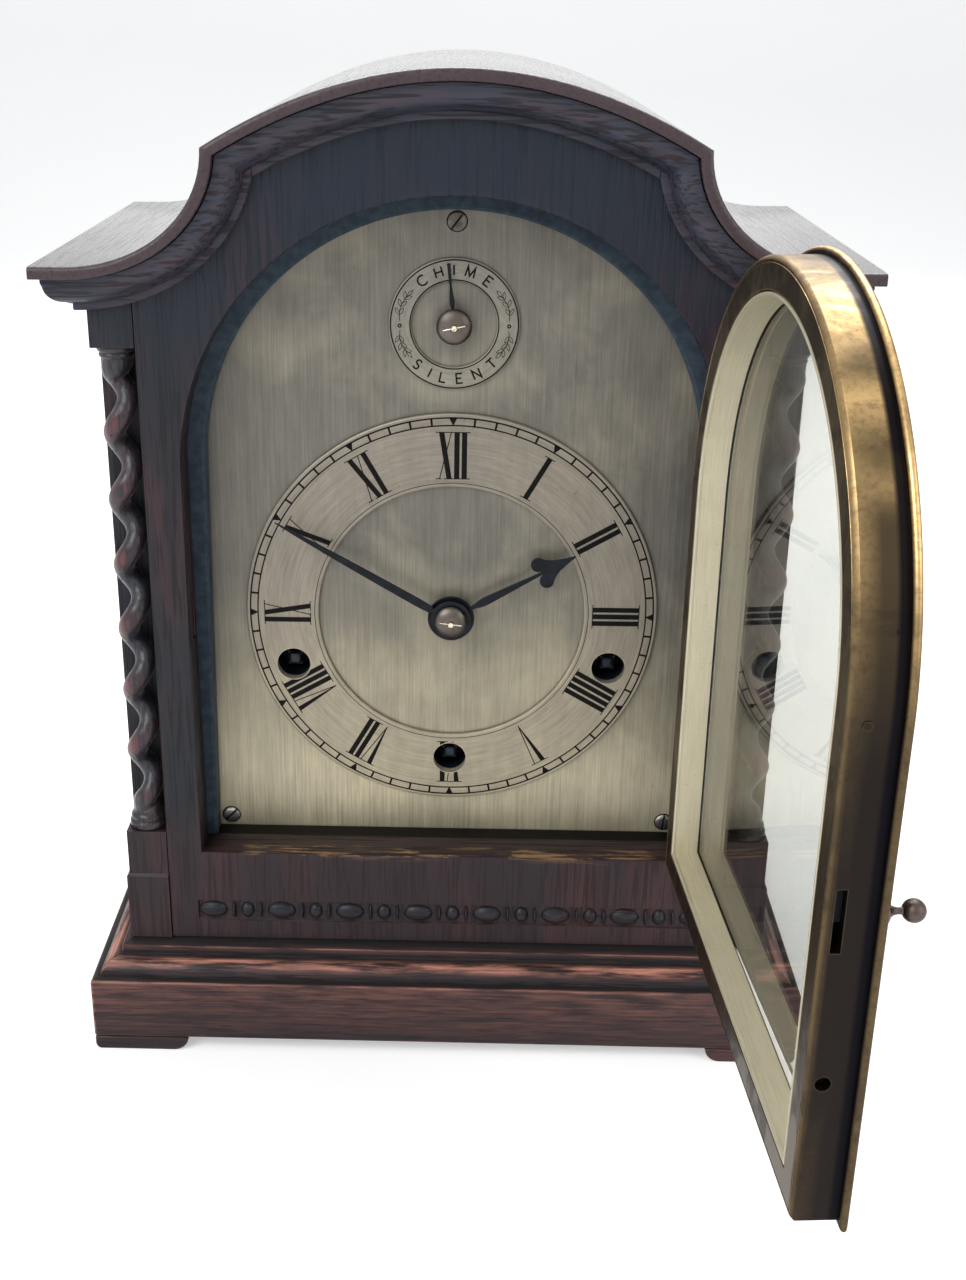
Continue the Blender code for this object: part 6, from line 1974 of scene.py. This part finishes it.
@dataclass
class Bezel(Assembly):
    """The arched brass door with its silvered sight ring, glass, knob and latch, standing open."""

    half: float = 78.0
    lift: float = 0.8
    spring_drop: float = 2.7
    depth: float = 11.1
    rail: float = 8.0
    lip: float = 1.6
    flange: float = 1.87
    front_depth: float = 13.2
    glass_depth: float = 8.0
    glass_thickness: float = 2.0
    open_angle: float = 93.8
    hinge_x: float = 79.84
    hinge_out: float = 0.8
    knob_inset: float = 4.0
    slot_half: float = 7.6
    slot_depths: tuple[float, float] = (4.15, 1.85)
    shaft_radius: float = 1.35
    catch_drop: float = 37.6
    catch_depth: float = 3.8
    catch_radius: float = 1.8
    arch_steps: int = 112

    @property
    def rear_y(self) -> float:
        """Depth of the closed door's rear face."""
        return self.layout.front - self.layout.seat + self.depth

    def door_piece(self, name: str, shape: Shape, finish: str, **options: object) -> None:
        """Makes a piece that rides on the door, turned to where the door stands.

        Args:
            name: name of the piece.
            shape: points and faces on the closed door.
            finish: name of its finish.
            options: other fields of Piece.
        """
        pivot = (self.hinge_x, self.layout.front - self.hinge_out, 0.0)
        options = {"body": "bezel", "smooth": 28, **options}
        self.piece(name, shape, finish, turn=turning(pivot, Axis.Z, math.radians(self.open_angle)), **options)

    def outline(self, inset: float = 0.0) -> Array:
        """The closed door's outline, moved in."""
        bottom = self.layout.sill_z + self.lift + inset
        return arched(self.half - inset, bottom, self.layout.spring_z - self.spring_drop, self.arch_steps)

    def carried(self, profile: Sequence) -> Array:
        """A profile (inset, depth from the rear) carried round the door, mitred at its corners."""
        inset, depth = np.asarray(profile).T
        return swept(self.outline()[::-1], inset, self.rear_y - depth, closed=True)

    def frame_profile(self) -> tuple[Array, Marks]:
        """(inset, depth) of the brass frame and its marks: chamfered rear edge with a scribed line, rear
        face, glass lip, front moulding, rounded flange, dark groove and plain rim.

        Returns:
            The points and their marks.
        """
        rail, lip, front, depth = self.rail, self.rail + self.lip, self.front_depth, self.depth
        lip_back = self.glass_depth + self.glass_thickness + self.layout.seat
        points = np.vstack([
            [(0.0, 1.1), (0.1, 0.9), (0.8, 0.12), (1.0, 0.0), (1.25, 0.0), (1.35, 0.22), (1.65, 0.22),
             (1.75, 0.0), (rail - 0.25, 0.0), (rail, 0.25), (rail, lip_back), (lip, lip_back),
             (lip, front - 1.6), (lip - 0.3, front - 1.2), (rail - 1.2, front - 0.15), (rail - 1.8, front),
             (2.2, front), (1.2, front - 0.35), (0.4, front - 0.45)],
            arc((1.0 - self.flange, front - 1.25), 1.0, 95, 262, 9),
            [(-0.4, depth + 0.02), (0.0, depth - 0.1), (0.0, depth - 1.9), (0.0, depth - 2.9),
             (0.0, depth / 2)]])
        marks = {key: np.zeros(len(points)) for key in ("wear", "groove", "clean", "rim")}
        marks["wear"][0:4] = 0.35
        marks["wear"][18:30] = (0.3, 0.3, 0.4, 0.5, 0.7, 1.0, 1.0, 1.0, 0.8, 0.5, 0.3, 0.0)
        marks["groove"][5:7] = 0.8
        marks["groove"][-5:-2] = 1.0
        # The rear chamfer and the scribed line are partly spared the painted dark reflection.
        marks["clean"][2:10] = 0.7
        # Rim points, which take the painted glints.
        marks["rim"][[-2, -1, 0]] = 1.0
        return points, marks

    def glints(self, height: Array) -> Array:
        """Painted highlights on the rim, for the lights it reflects: bell curves of the height.

        Args:
            height: heights of the rim's points.

        Returns:
            How bright each point is.
        """
        bells = ((262.0, 4.5, 0.9), (247.5, 4.5, 1.0), (235.0, 3.0, 0.35))
        shine = sum(share * np.exp(-((height - middle) / width) ** 2) for middle, width, share in bells)
        return np.clip(shine, 0, 1)

    def sight_profile(self) -> Array:
        """(inset, depth) of the silvered lining: a small bead at the rear and a slope to the glass.

        Returns:
            (points, 2) places.
        """
        outer, glass = self.rail + self.layout.seat, self.glass_depth - 0.3
        return np.vstack([[(outer, glass), (outer, 0.6)], arc((outer + 0.5, 0.45), 0.55, 200, 380, 8)[1:],
                          [(outer + 0.75, 1.15), (outer + 0.8, 1.5), (outer + 1.5, glass)]])

    def build(self) -> None:
        """Makes the door and what it carries."""
        profile, marks = self.frame_profile()
        sections = self.carried(profile)
        # Painted highlights: the glints join the rim's wear marks.
        marks["wear"] = np.maximum(marks["wear"], marks.pop("rim") * self.glints(sections[:, :, 2]))
        self.door_piece("bezel_moulding", loft(sections, closed=True), "aged_brass", marks=marks,
                        replaces="bezel_frame", slot="brass", cutters=self.cutters(), smooth=24)
        lining = self.carried(self.sight_profile())
        steps = np.linalg.norm(np.diff(lining, axis=0, prepend=lining[:1]), axis=2)
        rise = self.rear_y - lining[:, :, 1]
        self.door_piece("sight_lining", loft(lining, closed=True), "sight_silver", replaces="sight_ring",
                        slot="silvered", marks={"run": np.cumsum(steps, axis=0) * MM, "rise": rise * MM})
        edge, glass = self.rail + 1.2, self.glass_depth - 0.02
        putty = [(edge, glass), (edge, glass - 0.26), (edge + 0.9, glass - 0.26), (edge + 1.1, glass)]
        self.door_piece("glass_putty", loft(self.carried(putty), closed=True), "black_wax")
        glass_back = self.rear_y - self.glass_depth
        pane = slab(self.outline(self.rail + self.layout.seat), glass_back - self.glass_thickness, glass_back)
        self.door_piece("bezel_pane", pane, "clear_glass", replaces="glass", slot="glass", smooth=25)
        # Painted highlight: a thin pale wedge on the back of the glass along its foot, for the gleam of its
        # edge.
        foot = self.outline(self.rail + 1.75)[0, 1]
        wedge = slab([(24.0, foot), (-68.2, foot), (-68.2, foot + 4.6)], glass_back + 0.02, glass_back + 0.2)
        self.door_piece("ground_glass_edge", wedge, "ground_edge", smooth=25)
        self.build_knob()
        self.build_rim_screw()
        self.dress("aged_brass", 0.0, "case_hinge_upper", "case_hinge_lower", "bezel_hinge_upper",
                   "bezel_hinge_lower")
        # Painted shade: the latch tongue is dark so that its slot reads as shaded.
        self.dress("well_blue", 0.2, "latch_tongue")

    def cutters(self) -> list[Shape]:
        """Helpers that cut the latch slot, shaft hole, catch hole and hinge rests.

        Returns:
            The points and faces of each.
        """
        place, rear = self.layout, self.rear_y
        knob_x, knob_z = self.knob_inset - self.half, place.dial_z + place.knob_rise
        deep, shallow = self.slot_depths
        shaft, bore = self.shaft_radius, self.catch_radius
        catch = (-self.half, rear - self.catch_depth, place.dial_z - self.catch_drop)
        found = [
            box_shape((-self.half - 5, rear - deep, knob_z - self.slot_half),
                      (knob_x + 2.3, rear - shallow, knob_z + self.slot_half)),
            turned([(rear - 18.0, shaft), (rear - 3.0, shaft)], (knob_x, 0.0, knob_z), ALONG_Y, 32),
            turned([(-5.0, bore), (3.0, bore)], catch, ALONG_X, 32)]
        for rise in place.hinge_rises:
            middle = place.dial_z + rise
            found.append(box_shape((self.half + 0.1, place.front - 5, middle - place.hinge_half),
                                   (self.hinge_x + 5, place.front + 5, middle + place.hinge_half)))
        return found

    def build_knob(self) -> None:
        """Makes the turned knob: flared base, thin neck, collar and ball."""
        front, size = self.front_depth + self.layout.seat, 2.6
        flare = [(0.0, 2.7), (0.2, 2.9), (0.5, 2.85), (0.9, 2.3), (1.3, 1.6), (2.0, 1.0), (3.0, 0.75),
                 (3.6, 0.8)]
        angle = np.radians(np.linspace(19, 180, 22))
        ball = np.column_stack([self.front_depth + 6.7 - size * np.cos(angle),
                                np.maximum(size * np.sin(angle), 0.02)])
        profile = np.vstack([[(4.4, 1.0), (front, 1.0)], np.array(flare) + [front, 0.0], ball])
        base = (self.knob_inset - self.half, self.rear_y, self.layout.dial_z + self.layout.knob_rise)
        self.door_piece("turned_knob", turned(profile, base, FORWARD, 48), "knob_bronze", body="latch",
                        replaces="door_knob", slot="brass", smooth=40)

    def build_rim_screw(self) -> None:
        """Makes the small screw in the rim above the latch."""
        profile = [(-0.5, 0.9), (0.1, 1.1), (0.25, 1.05), (0.35, 0.7), (0.38, 0.05)]
        base = (-self.half, self.rear_y - 4.1, self.layout.dial_z + 47.4)
        self.door_piece("rim_screw", turned(profile, base, (-1, 0, 0), 28), "aged_brass", smooth=35)


# What the case holds


@dataclass
class Inside(Assembly):
    """Finishes for the movement, the back and the boards carried over from the frame."""

    square_half: float = 2.08
    well_front: float = 32.0

    def shaded_well(self, word: str) -> None:
        """Makes a dark sleeve of painted shade behind a winding hole, a turned cup with room for the arbor in
        its floor, and the domed end of the winding square: rounded squares that shrink as they come forward.

        Args:
            word: left, centre or right.
        """
        low, high = np.array(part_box(f"winding_arbor_{word}")) / MM
        front, deep = self.well_front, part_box("front_plate")[0][1] / MM - 0.5
        x, z = (low[0] + high[0]) / 2, (low[2] + high[2]) / 2
        wall = [(front, 5.5), (deep - 0.5, 5.5), (deep - 0.5, 3.5), (deep, 3.5), (deep, 6.1), (front, 6.1)]
        self.piece(f"winding_well_{word}", turned(wall, (x, 0.0, z), ALONG_Y, 48, closed=True), "well_blue")
        side = np.array([1.0, 1.0, 0.93, 0.8, 0.6, 0.3])[:, None] * self.square_half
        depth = low[1] - np.array([-0.6, 0.0, 0.45, 0.8, 1.0, 1.1])[:, None]
        angle = all_round(32)
        reach = side / (np.abs(np.cos(angle)) ** 5 + np.abs(np.sin(angle)) ** 5) ** 0.2
        sections = grid(x + reach * np.cos(angle), depth, z + reach * np.sin(angle))
        self.piece(f"winding_square_{word}", loft(sections), "arbor_steel", body=f"winding_{word}", smooth=45)

    def build(self) -> None:
        """Dresses the carried nodes and makes the wells of painted shade."""
        self.dress("movement_brass", 0.25, "front_plate", "back_plate", "pendulum_cock")
        for word in ("left", "centre", "right"):
            self.dress("movement_brass", 0.0, f"barrel_{word}")
            self.dress("arbor_steel", 0.8, f"winding_arbor_{word}")
            self.shaded_well(word)
        self.dress("movement_brass", 0.0, "pendulum")
        self.dress("grey_steel", 0.0, "chime_rods")
        self.dress("oak_plain", 0.3, "seat_board")
        self.dress("oak_upright", 0.4, "side_panel_left", "side_panel_right", "back_frame")
        self.dress("oak_upright", 0.3, "back_door")
        self.dress("aged_brass", 0.0, "back_door_hinge", "back_door_pull")


# Studio


@dataclass
class Studio:
    """Pale floor, soft lamps and the camera, in metres."""

    centre: tuple[float, float, float] = (0.0, 0.03, 0.15)
    focal_pixels: float = 1570.9
    image: tuple[int, int] = (966, 1280)
    principal: tuple[float, float] = (419.1, 636.4)
    eye: tuple[float, float, float] = (0.00418, -0.42745, 0.3216)
    yaw: float = -0.031
    pitch: float = 0.387
    roll: float = 0.003

    def build(self) -> None:
        """Makes the studio."""
        self.camera()
        self.floor()
        self.surround()
        self.lamp("key", (-0.75, -0.85, 1.05), 0.9, 14.0)
        self.lamp("fill", (0.95, -0.6, 0.55), 0.8, 5.0)
        self.lamp("top", (0.1, 0.75, 1.15), 1.0, 18.0)
        bpy.context.scene.view_settings.view_transform = "Standard"

    def stand(self, data: bpy.types.ID, place: Floats, rotation: Matrix) -> bpy.types.Object:
        """Links a camera or lamp at a place, turned.

        Args:
            data: the camera or lamp.
            place: where it stands.
            rotation: how it is turned.

        Returns:
            The object.
        """
        obj = bpy.data.objects.new(data.name, data)
        bpy.context.scene.collection.objects.link(obj)
        obj.matrix_world = Matrix.Translation(Vector(place)) @ rotation.to_4x4()
        return obj

    def camera(self) -> None:
        """The camera: forward, right and up from yaw, pitch and roll; the lens from the focal length
        in pixels; the shift from the middle of the image to the principal point."""
        width, height = self.image
        level = math.cos(self.pitch)
        forward = Vector((math.sin(self.yaw) * level, math.cos(self.yaw) * level, -math.sin(self.pitch)))
        right = Vector((math.cos(self.yaw), -math.sin(self.yaw), 0.0))
        up = right.cross(forward)
        cosine, sine = math.cos(self.roll), math.sin(self.roll)
        rotation = Matrix((right * cosine + up * sine, up * cosine - right * sine, -forward)).transposed()
        data = bpy.data.cameras.new("view")
        data.sensor_fit = "AUTO"
        data.sensor_width = 36.0
        data.lens = self.focal_pixels / height * data.sensor_width
        data.shift_x = (width / 2 - self.principal[0]) / height
        data.shift_y = (self.principal[1] - height / 2) / height
        data.clip_start, data.clip_end = 0.01, 50.0
        bpy.context.scene.camera = self.stand(data, self.eye, rotation)

    def floor(self) -> None:
        """A pale sheet on the floor that sweeps up far behind the clock."""
        front, back, radius, top, half = -2500, 1600, 600, 2600, 3000
        level = [(y, 0.0) for y in np.linspace(front, back, 12)[:-1]]
        path = np.vstack([level, arc((back, radius), radius, -90, 0, 24), [(back + radius, top)]])
        x = np.linspace(-half, half, 13)
        sheet = grid(x, path[:, :1], path[:, 1:])
        obj = new_object("studio_floor", (sheet.reshape(-1, 3), [grid_quads(len(path), len(x))]))
        graph = Graph("pale_floor")
        grain = graph.noise(graph.place(), 6.0, 3.0, 0.5)
        colour = graph.mix(grain, (0.82, 0.82, 0.81), (0.86, 0.86, 0.85))
        surface = graph.node("BsdfDiffuse", {"Color": colour}).outputs[0]
        glow = graph.node("Emission", {"Color": (*WHITE, 1.0), "Strength": 0.40}).outputs[0]
        added = graph.node("AddShader", {0: surface, 1: glow}).outputs[0]
        graph.show(graph.node("MixShader", {0: graph.seen_straight(), 1: surface, 2: added}))
        obj.data.materials.append(graph.owner)
        obj.data.shade_smooth()

    def surround(self) -> None:
        """An even pale surround, white where the camera or glass sees it."""
        graph = Graph("surround", surround=True)
        pale = graph.node("Background", {"Color": (0.92, 0.95, 1.0, 1.0), "Strength": 0.42}).outputs[0]
        white = graph.node("Background", {"Color": (*WHITE, 1.0), "Strength": 1.0}).outputs[0]
        graph.show(graph.node("MixShader", {0: graph.seen_straight(), 1: pale, 2: white}))
        bpy.context.scene.world = graph.owner

    def lamp(self, name: str, place: Floats, size: float, power: float) -> None:
        """A square soft lamp that faces the clock.

        Args:
            name: name of the lamp.
            place: where it hangs.
            size: its width.
            power: watts.
        """
        data = bpy.data.lights.new(name, "AREA")
        data.shape, data.size, data.energy = "SQUARE", size, power
        aim = Vector(self.centre) - Vector(place)
        self.stand(data, place, aim.to_track_quat("-Z", "Y").to_matrix())


def main() -> None:
    """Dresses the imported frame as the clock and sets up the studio."""
    logging.basicConfig(level=logging.INFO, format="%(name)s %(message)s")
    for obj in list(bpy.data.objects):
        bpy.data.objects.remove(obj, do_unlink=True)
    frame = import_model()
    layout = Layout()
    shared = (layout, build_finishes(layout), frame)
    Studio().build()
    roof = Roof(*shared)
    for assembly in (roof, FrontBoard(*shared, roof), Columns(*shared), BeadStrip(*shared), Plinth(*shared),
                     Dial(*shared), Hands(*shared), Bezel(*shared), Inside(*shared)):
        assembly.build()
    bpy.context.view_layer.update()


if __name__ == "__main__":
    main()
